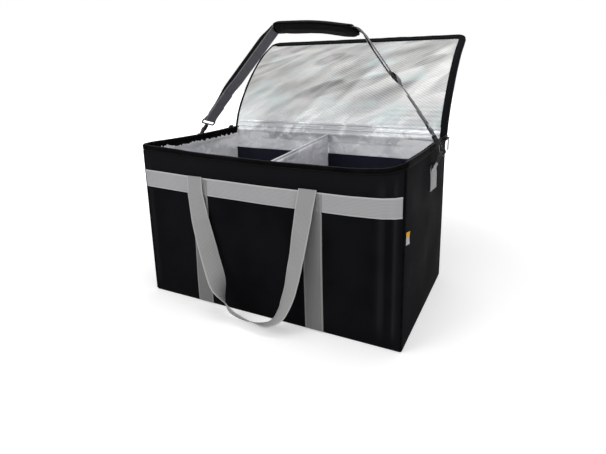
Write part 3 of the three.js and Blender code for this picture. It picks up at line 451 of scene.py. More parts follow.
def outline(inset, long=56, short=34, turns=5):
    """Plan places of a wall layer, from the back left corner down the left side and round: place, way out
    and distance round."""
    hx, hy, r = HALF_X - inset, HALF_Y - inset, max(CORNER - inset, 0.7)
    places, outs = [], []

    def straight(start, end, out, count):
        for k in range(count):
            share = k / (count - 1)
            places.append([start[0] + (end[0] - start[0]) * share, start[1] + (end[1] - start[1]) * share])
            outs.append(out)

    def bend(cx, cy, first):
        for k in range(1, turns):
            turn = math.radians(first + 90 * k / turns)
            outs.append([math.cos(turn), math.sin(turn)])
            places.append([cx + r * math.cos(turn), cy + r * math.sin(turn)])

    straight((-hx, hy - r), (-hx, r - hy), (-1, 0), short)
    bend(r - hx, r - hy, 180)
    straight((r - hx, -hy), (hx - r, -hy), (0, -1), long)
    bend(hx - r, r - hy, 270)
    straight((hx, r - hy), (hx, hy - r), (1, 0), short)
    bend(hx - r, hy - r, 0)
    straight((hx - r, hy), (r - hx, hy), (0, 1), long)
    bend(r - hx, hy - r, 90)
    places, outs = np.array(places), np.array(outs, float)
    return places, outs, around(places)


def around(places):
    """Distance round the bag of plan places, from the back left corner."""
    x = np.clip(places[..., 0], -HALF_X, HALF_X)
    y = np.clip(places[..., 1], -HALF_Y, HALF_Y)
    edge = np.stack([x + HALF_X, y + HALF_Y, HALF_X - x, HALF_Y - y])
    side = np.argmin(edge, 0)
    return np.choose(side, [HALF_Y - y, FRONT_START + x + HALF_X, RIGHT_START + y + HALF_Y,
                            BACK_START + HALF_X - x])


def rim_height(s):
    table = np.array(RIM, float)
    reach = np.linspace(-14, 14, 9)
    weights = np.exp(-((reach / 8) ** 2))
    values = [np.interp((s + r) % PERIMETER, table[:, 0], table[:, 1]) for r in reach]
    return sum(w * v for w, v in zip(weights, values)) / weights.sum()


def wall_ridge(s, z):
    """Upright folds of the front's cloth beside its right seam, and softer ones beside the left."""
    x = np.asarray(s, float) % PERIMETER - (FRONT_START + HALF_X)
    front = smooth(HALF_X - np.abs(x), 0, 4)
    folds = 1.5 * np.exp(-(((x - 283) / 4.0) ** 2)) + 0.8 * np.exp(-(((x - 258) / 7) ** 2))
    folds = folds - 0.9 * np.exp(-(((x - 271) / 5) ** 2)) + 0.6 * np.exp(-(((x + 285) / 5) ** 2))
    return folds * front * smooth(z, 8, 60) * smooth(338 - np.asarray(z, float), 0, 40)


def swell(s, z):
    """How far the walls stand out from flat: a soft belly, uneven waves and upright folds by the corner."""
    s = np.asarray(s, float) % PERIMETER
    z = np.clip(np.asarray(z, float), 0, HEIGHT)
    starts = np.array([0, FRONT_START, RIGHT_START, BACK_START])
    lengths = np.array([DEPTH, WIDTH, DEPTH, WIDTH])
    side = np.clip(np.searchsorted(starts, s, side="right") - 1, 0, 3)
    share = (s - starts[side]) / lengths[side]
    hold = smooth(share, 0, 0.12) * smooth(1 - share, 0, 0.12) * smooth(z, 0, 60)
    belly = np.sin(np.pi * share) * np.sin(np.pi * np.clip(z / 340, 0, 1)) * sizes().belly * 1000
    waves = 0.9 * ripple(s * 0.9, z * 0.45, 85, 3.1) * hold
    ridge = wall_ridge(s, z) * (0.9 + 0.3 * ripple(s * 0.2, z, 60, 1.2))
    pucker = 0.28 * ripple(s, z * 0.3, 13, 7.7) * smooth(z, 312, 338)
    return belly * np.where(side == 1, 1.0, 0.8) + waves + ridge + pucker


def drape(places, outs, s, z, out=0.0):
    """Points of a wall layer at nominal height z, standing out mm proud of its plan place."""
    z = np.asarray(z, float)
    low = SAG_BELOW_BAND * z / BAND_HIGH
    high = SAG_BELOW_BAND + (1 - SAG_BELOW_BAND) * (z - BAND_HIGH) / (HEIGHT - BAND_HIGH)
    weight = np.where(z < BAND_HIGH, low, high)
    push = swell(s, z) + out
    x = places[..., 0] + outs[..., 0] * push
    y = places[..., 1] + outs[..., 1] * push
    return np.stack(np.broadcast_arrays(x, y, z + weight * (rim_height(s) - HEIGHT)), -1)


def face_point(side, x, z, out):
    """A point proud of the front (-1) or back (1) wall."""
    x, z, out = np.broadcast_arrays(*(np.asarray(v, float) for v in (x, z, out)))
    places = np.stack([x, np.full_like(x, side * HALF_Y)], -1)
    outs = np.zeros_like(places)
    outs[..., 1] = side
    return drape(places, outs, around(places), z, out)


# The lid's shape

def lid_frame(t):
    """Place and inward direction on the open lid's inner face, t mm from its hinge."""
    line = curve_through(np.array(LID_LINE, float))
    length = along(line) * (LID_LENGTH / along(line)[-1])
    heading = tangents(line)
    y, z, dy, dz = (np.interp(t, length, v) for v in (line[:, 0], line[:, 1], heading[:, 0], heading[:, 1]))
    size = np.hypot(dy, dz)
    return y, z, -dz / size, dy / size


def lid_point(x, t, h):
    y, z, ny, nz = lid_frame(t)
    return np.stack(np.broadcast_arrays(x, y + ny * h, z + nz * h), -1)


LID_CREASES = [
    (-214, 120, 48, 70, 15, 2.6), (-150, 70, 40, 62, 12, 2.0), (-120, 190, 52, 90, 18, 3.0),
    (-40, 95, 44, 80, 14, 2.4), (-8, 225, 40, 85, 20, 2.6), (60, 150, 50, 100, 16, 3.2),
    (120, 60, 38, 60, 12, 1.8), (150, 240, 36, 95, 18, 2.8), (205, 130, 52, 85, 17, 3.0),
    (248, 262, 40, 60, 14, 2.2), (-250, 250, 60, 70, 15, 2.0), (-60, 292, 24, 95, 13, 1.8),
    (-180, 286, 36, 70, 12, 2.0),
]


def foil_folds(x, t):
    """Height of the lid foil's slack folds, and the painted light and shade across them: lighter on one side of
    each crease and darker on the other, and rippling near the hinge.
    """
    height = 0.8 * ripple(x + t * 0.7, t * 0.6 - x * 0.5, 60, 5.5)
    tone = np.zeros(np.broadcast(x, t).shape)
    for cx, ct, angle, reach, wide, high in LID_CREASES:
        turn = math.radians(angle)
        u = (x - cx) * math.cos(turn) + (t - ct) * math.sin(turn)
        v = (t - ct) * math.cos(turn) - (x - cx) * math.sin(turn) + 6 * np.sin(u / 38 + cx)
        ridge = high * np.exp(-((v / wide) ** 2)) * np.exp(-((u / reach) ** 2))
        height = height + ridge * 0.85
        tone = tone - ridge / high * v / wide * 1.5
    near = smooth(105 - t, 0, 60) * smooth(x, 20, 190)
    swirl = t * 2 * math.pi / 12.5 + 1.6 * ripple(x, t, 70, 9.9) + x / 55
    height = height + 0.7 * near * np.sin(swirl)
    return height, tone + 0.9 * near * np.cos(swirl)


# Materials

def node(tree, kind, settings=None, **inputs):
    """A shader node with its settings and inputs, which are named, or numbered as i0, i1 and so on."""
    made = tree.nodes.new("ShaderNode" + kind)
    for key, value in (settings or {}).items():
        setattr(made, key, value)
    for key, value in inputs.items():
        numbered = key[0] == "i" and key[1:].isdigit()
        socket = made.inputs[int(key[1:]) if numbered else key.replace("_", " ")]
        if isinstance(value, bpy.types.NodeSocket):
            tree.links.new(value, socket)
        else:
            socket.default_value = value
    return made


def sums(tree, kind, first, second=0.0, third=0.0):
    return node(tree, "Math", {"operation": kind}, i0=first, i1=second, i2=third).outputs[0]


def blended(tree, share, first, second):
    made = node(tree, "Mix", {"data_type": "RGBA"}, i0=share)
    for index, value in ((6, first), (7, second)):
        if isinstance(value, bpy.types.NodeSocket):
            tree.links.new(value, made.inputs[index])
        else:
            made.inputs[index].default_value = (*value[:3], 1)
    return made.outputs[2]


def between(tree, value, low, high, out_low=0.0, out_high=1.0):
    return node(tree, "MapRange", {"interpolation_type": "SMOOTHSTEP"}, Value=value, From_Min=low,
                From_Max=high, To_Min=out_low, To_Max=out_high).outputs[0]


def grain(tree, vector, scale, detail=3.0, distortion=0.0):
    return node(tree, "TexNoise", Vector=vector, Scale=scale, Detail=detail, Distortion=distortion).outputs[0]


def on_cloth(tree):
    """The cloth coordinates, and their two parts."""
    uv = node(tree, "UVMap", {"uv_map": "Cloth"}).outputs[0]
    return uv, *node(tree, "SeparateXYZ", Vector=uv).outputs[:2]


def in_bag(tree):
    return node(tree, "TexCoord").outputs["Object"]


def level_of(tree, where):
    return node(tree, "SeparateXYZ", Vector=where).outputs[2]


def sine(tree, value, pitch):
    """Waves over a value, one in every pitch."""
    return sums(tree, "SINE", sums(tree, "MULTIPLY", value, 2 * math.pi / pitch))


def attribute(tree, name):
    return node(tree, "Attribute", {"attribute_name": name}).outputs["Fac"]


def scaled(tint, share):
    """A tint made darker or lighter."""
    return tuple(min(c * share, 1) for c in tint)


def surface(name, roughness, metallic=0.0, sheen=0.0, gloss=0.5):
    """A new material with its tree and principled shader."""
    material = bpy.data.materials.new(name)
    material.use_nodes = True
    tree = material.node_tree
    shader = tree.nodes["Principled BSDF"]
    shader.inputs["Roughness"].default_value = roughness
    shader.inputs["Metallic"].default_value = metallic
    shader.inputs["Sheen Weight"].default_value = sheen
    shader.inputs["Specular IOR Level"].default_value = gloss
    return material, tree, shader


def finished(tree, shader, base, height=None, strength=0.4, distance=0.0004, roughness=None):
    tree.links.new(base, shader.inputs["Base Color"])
    if roughness is not None:
        tree.links.new(roughness, shader.inputs["Roughness"])
    if height is not None:
        bump = node(tree, "Bump", Strength=strength, Distance=distance, Height=height)
        tree.links.new(bump.outputs[0], shader.inputs["Normal"])


def oxford_cloth(name, tint, roughness=0.72):
    """Coated cloth: a plain weave, with a painted sheen that makes the front and back paler from their bands up,
    and painted highlights on the crests of the front's folds.
    """
    material, tree, shader = surface(name, roughness, gloss=0.012)
    _, u, v = on_cloth(tree)
    where = in_bag(tree)
    weave = sums(tree, "MULTIPLY_ADD", sine(tree, u, 0.0014), sine(tree, v, 0.0014), 0.5)
    cloudy = grain(tree, where, 9.0, 4.0)
    fine = grain(tree, where, 900.0, 2.0)
    light = scaled(tint, 1.45)
    base = blended(tree, between(tree, cloudy, 0.36, 0.66), scaled(tint, 0.72), light)
    base = blended(tree, between(tree, weave, 0.2, 1.0, 0.0, 0.35), base, light)
    height = sums(tree, "MULTIPLY_ADD", fine, 0.5, weave)
    # Painted sheen: paler on the front and back walls from their bands up to the rim
    place = node(tree, "SeparateXYZ", Vector=where).outputs
    ahead = between(tree, sums(tree, "ABSOLUTE", place[1]), 0.17, 0.174)
    high = between(tree, place[2], 0.27, 0.31, 0.0, 0.45)
    base = blended(tree, sums(tree, "MULTIPLY", ahead, high), base, scaled(tint, 2.6))
    # Painted highlights on the crests of the front's upright folds, broken up by the cloudy noise
    rub = sums(tree, "MULTIPLY", attribute(tree, "rub"), between(tree, cloudy, 0.3, 0.6, 0.6, 1.0))
    base = blended(tree, rub, base, scaled(tint, 3.6))
    worn = between(tree, cloudy, 0.3, 0.7, roughness - 0.1, roughness + 0.12)
    finished(tree, shader, base, height, 0.45, 0.0003, worn)
    return material


def ribbed_tape(name, tint):
    """Binding tape: fine ribs along its length."""
    material, tree, shader = surface(name, 0.65, gloss=0.012)
    _, u, v = on_cloth(tree)
    height = sums(tree, "MULTIPLY_ADD", sine(tree, u, 0.0016), 0.35, sine(tree, v, 0.0011))
    cloudy = grain(tree, in_bag(tree), 40.0)
    base = blended(tree, between(tree, cloudy, 0.35, 0.7), scaled(tint, 0.7), scaled(tint, 1.5))
    finished(tree, shader, base, height, 0.5, 0.0003)
    return material


def streaks(tree, uv, degrees, stretch, scale, detail=2.0):
    """Noise drawn out along one slanting way of the cloth."""
    turned = node(tree, "Mapping", Vector=uv, Rotation=(0, 0, -math.radians(degrees))).outputs[0]
    drawn = node(tree, "Mapping", Vector=turned, Scale=(1, stretch, 1)).outputs[0]
    return grain(tree, drawn, scale, detail)


def lid_foil_sheet(name, tint, shadow):
    """The lid's stretched foil: painted light and shade across broad slanting folds, fine slanting lines, a
    painted highlight at its foot and tinted painted reflections.
    """
    material, tree, shader = surface(name, 0.42, metallic=0.3, gloss=0.4)
    uv, across, up = on_cloth(tree)
    lines = sine(tree, sums(tree, "MULTIPLY_ADD", across, 0.62, up), 0.0074)
    counter = sine(tree, sums(tree, "MULTIPLY_ADD", across, -1.5, up), 0.0105)
    # Painted shade: broad and middling slanting streaks stand for the shadows of the folds
    broad = between(tree, streaks(tree, uv, 33, 3.4, 4.6), 0.4, 0.56)
    middling = between(tree, streaks(tree, uv, 36, 3.0, 13.0, 3.0), 0.4, 0.6)
    tone = sums(tree, "MULTIPLY_ADD", broad, 0.34, sums(tree, "MULTIPLY", middling, 0.12))
    # Painted light and shade across the modelled folds, read from their attribute
    tone = sums(tree, "MULTIPLY_ADD", attribute(tree, "fold"), 0.3, sums(tree, "ADD", tone, 0.3))
    tone = sums(tree, "MULTIPLY_ADD", lines, 0.13, sums(tree, "MULTIPLY_ADD", counter, 0.07, tone))
    # Painted light and shade at the crests: a ramp of light up to a crisp shadow edge
    steps = sums(tree, "FRACT", sums(tree, "MULTIPLY", streaks(tree, uv, 33, 3.6, 3.4, 0.5), 3.4))
    crest = sums(tree, "MULTIPLY", steps, between(tree, steps, 1.0, 0.86))
    tone = sums(tree, "MULTIPLY_ADD", crest, 0.5, sums(tree, "SUBTRACT", tone, 0.2))
    tone = node(tree, "Clamp", Value=tone).outputs[0]
    base = blended(tree, tone, shadow, tint)
    # Painted highlight at the foot by the hinge, and painted bluish and pinkish reflections in slanting patches
    foot_highlight = between(tree, up, 0.14, 0.02, 0.0, 0.45)
    cool_reflection = between(tree, streaks(tree, uv, 20, 2.0, 9.0), 0.48, 0.66, 0.0, 0.35)
    rosy_reflection = between(tree, streaks(tree, uv, -30, 2.0, 7.0), 0.54, 0.7, 0.0, 0.25)
    glints = ((foot_highlight, (0.74, 0.77, 0.79)), (cool_reflection, (0.56, 0.68, 0.69)), (rosy_reflection, (0.74, 0.67, 0.7)))
    for share, glint in glints:
        base = blended(tree, share, base, glint)
    dip = sums(tree, "MULTIPLY_ADD", lines, 0.25, sums(tree, "MULTIPLY", middling, 1.2))
    finished(tree, shader, base, dip, 0.3, 0.0012, between(tree, middling, 0.0, 1.0, 0.36, 0.5))
    return material


def foil_sheet(name, tint, shadow, crush=1.0, deep=False):
    """The walls' and divider's foil: soft metal clouded with painted light and shade, with painted highlights
    along its creases, and if deep a painted dark blue reflection towards the floor and a painted highlight along
    its top.
    """
    material, tree, shader = surface(name, 0.3, metallic=0.15, gloss=0.5)
    where = in_bag(tree)
    drawn = node(tree, "Mapping", Vector=where, Rotation=(0.5, 0.6, 0.3), Scale=(1, 1, 1.7)).outputs[0]
    cloudy = between(tree, grain(tree, drawn, 9.0, 3.0, 0.8), 0.4, 0.6)
    creased = grain(tree, where, 34.0, 3.0, 0.9)
    ridges = between(tree, creased, 0.5, 0.66)
    # Painted light and shade: clouded reflections between the shadow tint and the bright tint
    base = blended(tree, cloudy, shadow, tint)
    # Painted highlights along the creases
    base = blended(tree, sums(tree, "MULTIPLY", ridges, 0.5), base, (0.98, 0.98, 1.0))
    if deep:
        # Painted dark blue reflection low in the bag, in patches
        level = level_of(tree, where)
        reflection_patches = between(tree, cloudy, 1.0, 0.0, 0.15, 0.5)
        low = sums(tree, "MULTIPLY", between(tree, level, 0.28, 0.2), reflection_patches)
        base = blended(tree, low, base, (0.2, 0.21, 0.32))
        # Painted highlight along the foil's top edge
        base = blended(tree, between(tree, level, 0.318, 0.33, 0.0, 0.8), base, (1.0, 1.0, 1.0))
    height = sums(tree, "MULTIPLY_ADD", ridges, 0.5, creased)
    finished(tree, shader, base, height, 0.4 * crush, 0.0022, between(tree, cloudy, 0.0, 1.0, 0.38, 0.26))
    return material


def woven_strap(name, tint, edge=0.0165, contrast=1.0, edge_tint=None):
    """Webbing: slanting twill over its width, and lighter along both edges."""
    material, tree, shader = surface(name, 0.78, sheen=0.06, gloss=0.25)
    uv, u, v = on_cloth(tree)
    swim = node(tree, "Mapping", Vector=uv, Scale=(26, 70, 1)).outputs[0]
    rib = sine(tree, sums(tree, "MULTIPLY_ADD", grain(tree, swim, 1.0, 1.0), 0.0022, v), 0.0026)
    twill = sine(tree, sums(tree, "MULTIPLY_ADD", v, 0.8, u), 0.0031)
    weft = sine(tree, u, 0.0013)
    height = sums(tree, "MULTIPLY_ADD", rib, 0.3, sums(tree, "MULTIPLY_ADD", weft, 0.25, twill))
    twill = sums(tree, "MULTIPLY_ADD", rib, 0.6, sums(tree, "MULTIPLY", twill, 0.5))
    worn = grain(tree, in_bag(tree), 22.0, 4.0)
    dark, light = scaled(tint, 1 - 0.3 * contrast), scaled(tint, 1 + 0.16 * contrast)
    base = blended(tree, between(tree, twill, -0.7, 0.7), dark, light)
    base = blended(tree, between(tree, worn, 0.35, 0.7, 0.0, 0.4), base, scaled(tint, 0.86))
    lighter_edges = between(tree, sums(tree, "ABSOLUTE", v), edge, edge + 0.0012)
    base = blended(tree, sums(tree, "MULTIPLY", lighter_edges, 0.75), base, edge_tint or scaled(tint, 1.5))
    finished(tree, shader, base, height, 0.5, 0.0004)
    return material


def pad_mesh(name, tint):
    """The shoulder pad's air mesh: small round holes in a knit."""
    material, tree, shader = surface(name, 0.7, sheen=0.01, gloss=0.06)
    where = in_bag(tree)
    cell = node(tree, "TexVoronoi", {"feature": "F1"}, Vector=where, Scale=420.0).outputs["Distance"]
    knit = between(tree, cell, 0.2, 0.55)
    cloudy = grain(tree, where, 30.0)
    base = blended(tree, knit, scaled(tint, 0.45), scaled(tint, 1.3))
    base = blended(tree, between(tree, cloudy, 0.4, 0.7, 0.0, 0.4), base, tint)
    finished(tree, shader, base, knit, 0.35, 0.0004)
    return material


def dark_metal(name, tint, roughness=0.42):
    """Plated steel: near black, with brushed and rubbed places."""
    material, tree, shader = surface(name, roughness, metallic=0.1, gloss=0.22)
    where = in_bag(tree)
    rubbed = grain(tree, where, 160.0, 4.0)
    fine = grain(tree, where, 1400.0, 2.0)
    base = blended(tree, between(tree, rubbed, 0.45, 0.75), tint, scaled(tint, 2.6))
    worn = between(tree, rubbed, 0.3, 0.7, roughness - 0.08, roughness + 0.14)
    finished(tree, shader, base, fine, 0.12, 0.0002, worn)
    return material


def plain_grain(name, tint, roughness, scale=500.0, strength=0.2, top=None):
    """Board, foam, label cloth and thread: one tint with its own fine grain, another tint above a height."""
    material, tree, shader = surface(name, roughness, gloss=0.15)
    where = in_bag(tree)
    fine = grain(tree, where, scale, 3.0)
    cloudy = grain(tree, where, 12.0, 3.0)
    base = blended(tree, between(tree, cloudy, 0.35, 0.68), scaled(tint, 0.84), scaled(tint, 1.12))
    if top:
        level, other = top
        base = blended(tree, between(tree, level_of(tree, where), level - 0.0006, level + 0.0006), base, other)
    finished(tree, shader, base, fine, strength, 0.0003)
    return material


FINISHES = {}


def recipes():
    """Each finish's maker and what it is given."""
    return {
        "oxford": (oxford_cloth, colour("oxford")),
        "lid_oxford": (oxford_cloth, colour("oxford"), 0.66),
        "binding": (ribbed_tape, colour("binding")),
        "coil": (plain_grain, (0.012, 0.012, 0.013), 0.38),
        "foam": (plain_grain, (0.72, 0.72, 0.68), 0.9, 260.0, 0.5),
        # One foil in lit and shaded copies: painted lighter on the walls against the shade inside the bag,
        # darker on the lid, the divider and the hinge, palest on the divider's hem
        "foil": (foil_sheet, colour("foil"), colour("foil_shadow"), 1.0, True),
        "lid_foil": (lid_foil_sheet, colour("lid_foil"), colour("lid_foil_shadow")),
        "divider_foil": (foil_sheet, (0.82, 0.82, 0.86), (0.52, 0.52, 0.57), 0.6),
        "hinge_foil": (foil_sheet, (0.74, 0.76, 0.78), (0.44, 0.45, 0.47)),
        "hem": (foil_sheet, (0.98, 0.98, 0.99), (0.86, 0.86, 0.88), 0.3),
        "band": (woven_strap, colour("band")),
        "upright": (woven_strap, colour("upright")),
        "handle": (woven_strap, colour("handle"), 0.0165, 1.15),
        "strap": (woven_strap, colour("strap"), 0.0158, 1.0, (0.36, 0.36, 0.36)),
        "strap_black": (woven_strap, (0.012, 0.012, 0.013)),
        "pad": (pad_mesh, colour("pad")),
        "board": (plain_grain, (0.008, 0.009, 0.019), 0.5),
        "label": (plain_grain, (0.5, 0.5, 0.5), 0.8, 1400.0, 0.2, (LABEL_TOP, (0.85, 0.42, 0.03))),
        "hardware": (dark_metal, (0.006, 0.006, 0.0065)),
        "swivel_metal": (dark_metal, (0.05, 0.05, 0.053), 0.3),
        "thread": (plain_grain, (0.5, 0.5, 0.5), 0.7, 2500.0),
        "dark_thread": (plain_grain, (0.03, 0.03, 0.032), 0.6, 2500.0),
    }


def finish(name):
    """A finish of the bag, made the first time it is asked for."""
    if name not in FINISHES:
        maker, *given = recipes()[name]
        FINISHES[name] = maker(name, *given)
    return FINISHES[name]


# Pieces

def make_walls():
    heights = [3.4, 8, *np.arange(18, 250, 12), *np.arange(252, 344, 7), 344, 348.4]
    rows = [(5.0, 0.5), (1.6, 0.6), (0.4, 1.5), *((0.0, z) for z in heights)]
    skins = []
    for inset, z in rows:
        places, outs, s = outline(inset, long=110, short=64)
        skins.append(drape(places, outs, s, np.full(len(s), z)))
    s = outline(0, long=110, short=64)[2]
    levels = np.array([z for _, z in rows])
    uv = cloth_grid(levels, s)[:, ::-1]
    faces = cells(len(rows), len(s), wrap_columns=True)
    cloth = piece("body_cloth", np.concatenate(skins), faces, finish("oxford"), uv, "oxford", shut=False,
                  period=PERIMETER)
    # Where each point gets the painted highlight of a fold crest
    mark(cloth, "rub", np.clip(wall_ridge(s[None, :], levels[:, None]), 0, 1))
    thick = cloth.modifiers.new("Thickness", "SOLIDIFY")
    thick.thickness = CLOTH / 1000
    thick.offset = -1
    settle(cloth)
    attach(cloth, "bag")
    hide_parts("panel_front", "panel_back", "panel_left", "panel_right")

    rings = []
    for inset, z in [(FOAM_OUT, 7), (FOAM_OUT, 120), (FOAM_OUT, 240), (FOAM_OUT, 347.5),
                     (FOAM_IN, 347.5), (FOAM_IN, 240), (FOAM_IN, 120), (FOAM_IN, 7)]:
        places, outs, s = outline(inset)
        rings.append(drape(places, outs, s, np.full(len(s), float(z))))
    rings = np.array(rings).transpose(1, 0, 2)
    points, faces = lofted(rings, closed=True)
    padding = piece("wall_padding", points, faces, finish("foam"), slot="foam")
    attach(padding, "bag")
    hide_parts("foam_front", "foam_back", "foam_left", "foam_right")


def make_lining():
    places, outs, s = outline(LINING_IN, long=130, short=78)
    at_back = smooth(s, BACK_START - 4, BACK_START + 6) * smooth(PERIMETER - 3 - s, 0, 8)
    top = 334 + 5.5 * ripple(s, 0, 7, 2.2, 3) + 4 * ripple(s, 0, 38, 8.2) + 6 * smooth(-places[:, 1], 60, 150)
    top = np.where(at_back > 0.5, 340, top)
    rows = []
    for z in [*np.arange(8, 272, 22), *np.arange(276, 326, 6)]:
        dent = -1.9 * np.abs(ripple(s, z, 34, 4.4, 3)) - 0.8 * np.abs(ripple(s * 0.5, z, 11, 6.1))
        dent *= smooth(z, 8, 60)
        rows.append(drape(places, outs, s, np.full(len(s), float(z)), dent))
    for share, proud in ((0.0, -1.4), (0.5, -3.0), (1.0, -3.4)):
        z = 327 + (top - 327) * share
        crush = -0.7 * np.abs(ripple(s, z, 6, 9.3))
        rows.append(drape(places, outs, s, z, np.where(at_back > 0.5, -0.9, proud + crush)))
    front = np.array(rows)
    back = front + np.concatenate([outs * 0.7, np.zeros((len(s), 1))], 1)[None]
    loop = np.concatenate([front, back[::-1]]).transpose(1, 0, 2)
    points, faces = lofted(loop, closed=True)
    height = along(front[:, 0])
    uv = cloth_grid(s, np.concatenate([height, height[::-1]]))
    lining = piece("lining_cloth", points, faces, finish("foil"), uv, "foil", sharp=60, period=PERIMETER)
    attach(lining, "bag")
    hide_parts("lining_front", "lining_back", "lining_left", "lining_right")


def flat_floor(name, inset, low, high, finish_name, slot, node_name, crinkle=0.0):
    straight = np.arange(20, DEPTH - 20, 12.0)
    corners = (FLOOR_CORNER, FLOOR_CORNER)
    rows_at = lambda d: plate_rows(HALF_X - inset, inset, DEPTH - inset, corners, d, straight)
    mid = (low + high) / 2

    def place(x, t, h):
        lift = crinkle * np.abs(ripple(x, t, 40, 2.7)) if crinkle else 0
        return np.stack([x, t - HALF_Y, mid + h + lift * (h > 0)], -1)

    half = (high - low) / 2
    levels = [(0.6, half), (0.0, half * 0.6), (0.0, -half * 0.6), (0.6, -half)]
    points, faces, uv = plate(rows_at, levels, 60, place)
    made = piece(name, points, faces, finish(finish_name), uv, slot)
    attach(made, "bag")
    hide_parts(node_name)
    return made


def make_floor():
    base = flat_floor("base_cloth", 1.2, 0.0, 1.2, "oxford", "oxford", "panel_base")
    foam = flat_floor("base_padding", 2.0, 1.5, 6.4, "foam", "foam", "foam_base")
    floor = flat_floor("lining_floor", 8.0, 6.8, 7.6, "foil", "foil", "lining_base", 0.6)


RIM_SECTION = [
    (1.3, -10.2), (1.75, -9.2), (1.7, -7.9), (1.35, -7.2), (1.6, -6.2), (2.1, -4.6), (2.4, -2.8), (2.2, -1.2),
    (1.5, 0.2), (0.3, 1.1), (-1.2, 1.2), (-2.4, 0.8), (-3.6, 0.9), (-5.4, 1.3), (-7.2, 1.1), (-8.7, 0.1),
    (-9.3, -1.6), (-9.4, -4), (-9.3, -9), (-9.4, -14), (-9.3, -17.4), (-8.9, -18), (-8.4, -17.4), (-8.4, -2.4),
    (-7.4, -1.2), (-0.6, -1.2), (0.4, -2.2), (0.5, -9.6), (0.8, -10.3),
]


def rim_path(spacing):
    """Even places along the rim from back left round the front to back right."""
    places, outs, s = outline(0, long=220, short=130, turns=8)
    keep = (s > 6) & (s < BACK_START - 6)
    places, outs, s = places[keep], outs[keep], s[keep]
    length = along(places)
    want = np.linspace(0, length[-1], int(length[-1] / spacing))
    return follow(places, length, want), unit(follow(outs, length, want)), np.interp(want, length, s)


def make_rim():
    places, outs, s = rim_path(4.5)
    section = np.array(RIM_SECTION)
    wave = 0.35 * ripple(s, 0, 22, 3.3, 3)
    rings = np.array([
        drape(places, outs, s, np.full(len(s), HEIGHT + up) + wave, out + 0.25 * wave) for out, up in section
    ]).transpose(1, 0, 2)
    points, faces = lofted(rings)
    around_section = along(np.concatenate([section, section[:1]]))[:-1]
    uv = cloth_grid(s, around_section)
    tape = piece("rim_binding", points, faces, finish("binding"), uv, "binding", sharp=60)
    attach(tape, "bag")
    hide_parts("rim_tape")

    places, outs, s = rim_path(2.5)
    top = drape(places, outs, s, np.full(len(s), HEIGHT + 1.25), -1.9)
    heading = tangents(top)
    up = np.broadcast_to([0.0, 0.0, 1.0], top.shape)
    coil = piece("zip_teeth_rim", *studs(top, heading, up, (1.5, 1.5, 2.8)), finish("coil"), slot="binding")
    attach(coil, "bag")
    places, outs, s = rim_path(4.0)
    parts = []
    for out, up, side in ((2.0, -8.6, 1), (-9.45, -15.5, -1)):
        line = drape(places, outs, s, np.full(len(s), HEIGHT + up), out)
        flat = np.concatenate([outs * side, np.zeros((len(s), 1))], 1)
        parts.append(sewn(line, flat))
    thread = piece("rim_stitches", *gathered(parts), finish("dark_thread"), slot="binding")
    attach(thread, "bag")


def make_piping():
    corners = {"front_left": (-1, -1), "front_right": (1, -1), "back_left": (-1, 1), "back_right": (1, 1)}
    for name, (side_x, side_y) in corners.items():
        out = unit(np.array([side_x, side_y], float))
        top = 338 if side_y < 0 else 345
        z = np.linspace(2.5, top, 70)
        plan = np.array([side_x * (HALF_X - 1.9), side_y * (HALF_Y - 1.9)])
        line = drape(np.repeat(plan[None], 70, 0), np.repeat(out[None], 70, 0),
                     np.full(70, float(around(plan))), z, -0.4)
        points, faces = tube(line, 2.3, 12, plane=(out[0], out[1], 0))
        uv = cloth_grid(z, np.linspace(0, 14, 12))
        cord = piece(f"piping_{name}_cord", points, faces, finish("binding"), uv, "binding", sharp=60)
        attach(cord, "bag")
        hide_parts(f"piping_{name}")


def strip_section(inner):
    """Places over a sewn strip's width, from -1 to 1, and how high its soft edges stand there."""
    share = np.array([-1, -0.97, -0.85, *inner, 0.85, 0.97, 1])
    return share, WEB_THICK * np.interp(np.abs(share), [0.85, 0.97, 1], [1, 0.85, 0.55])


def strip_on_wall(name, dress, side, x, z, proud, rise, uv):
    """Webbing sewn on the front or back wall: rise is its own height, on whatever lies proud of the wall."""
    front, back = face_point(side, x, z, proud + rise), face_point(side, x, z, proud + 0 * rise)
    points, faces = slab(front, back)
    strip = piece(f"{name}_webbing", points, faces, finish(dress), np.concatenate([uv, uv]), "webbing")
    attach(strip, "bag")
    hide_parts(name)


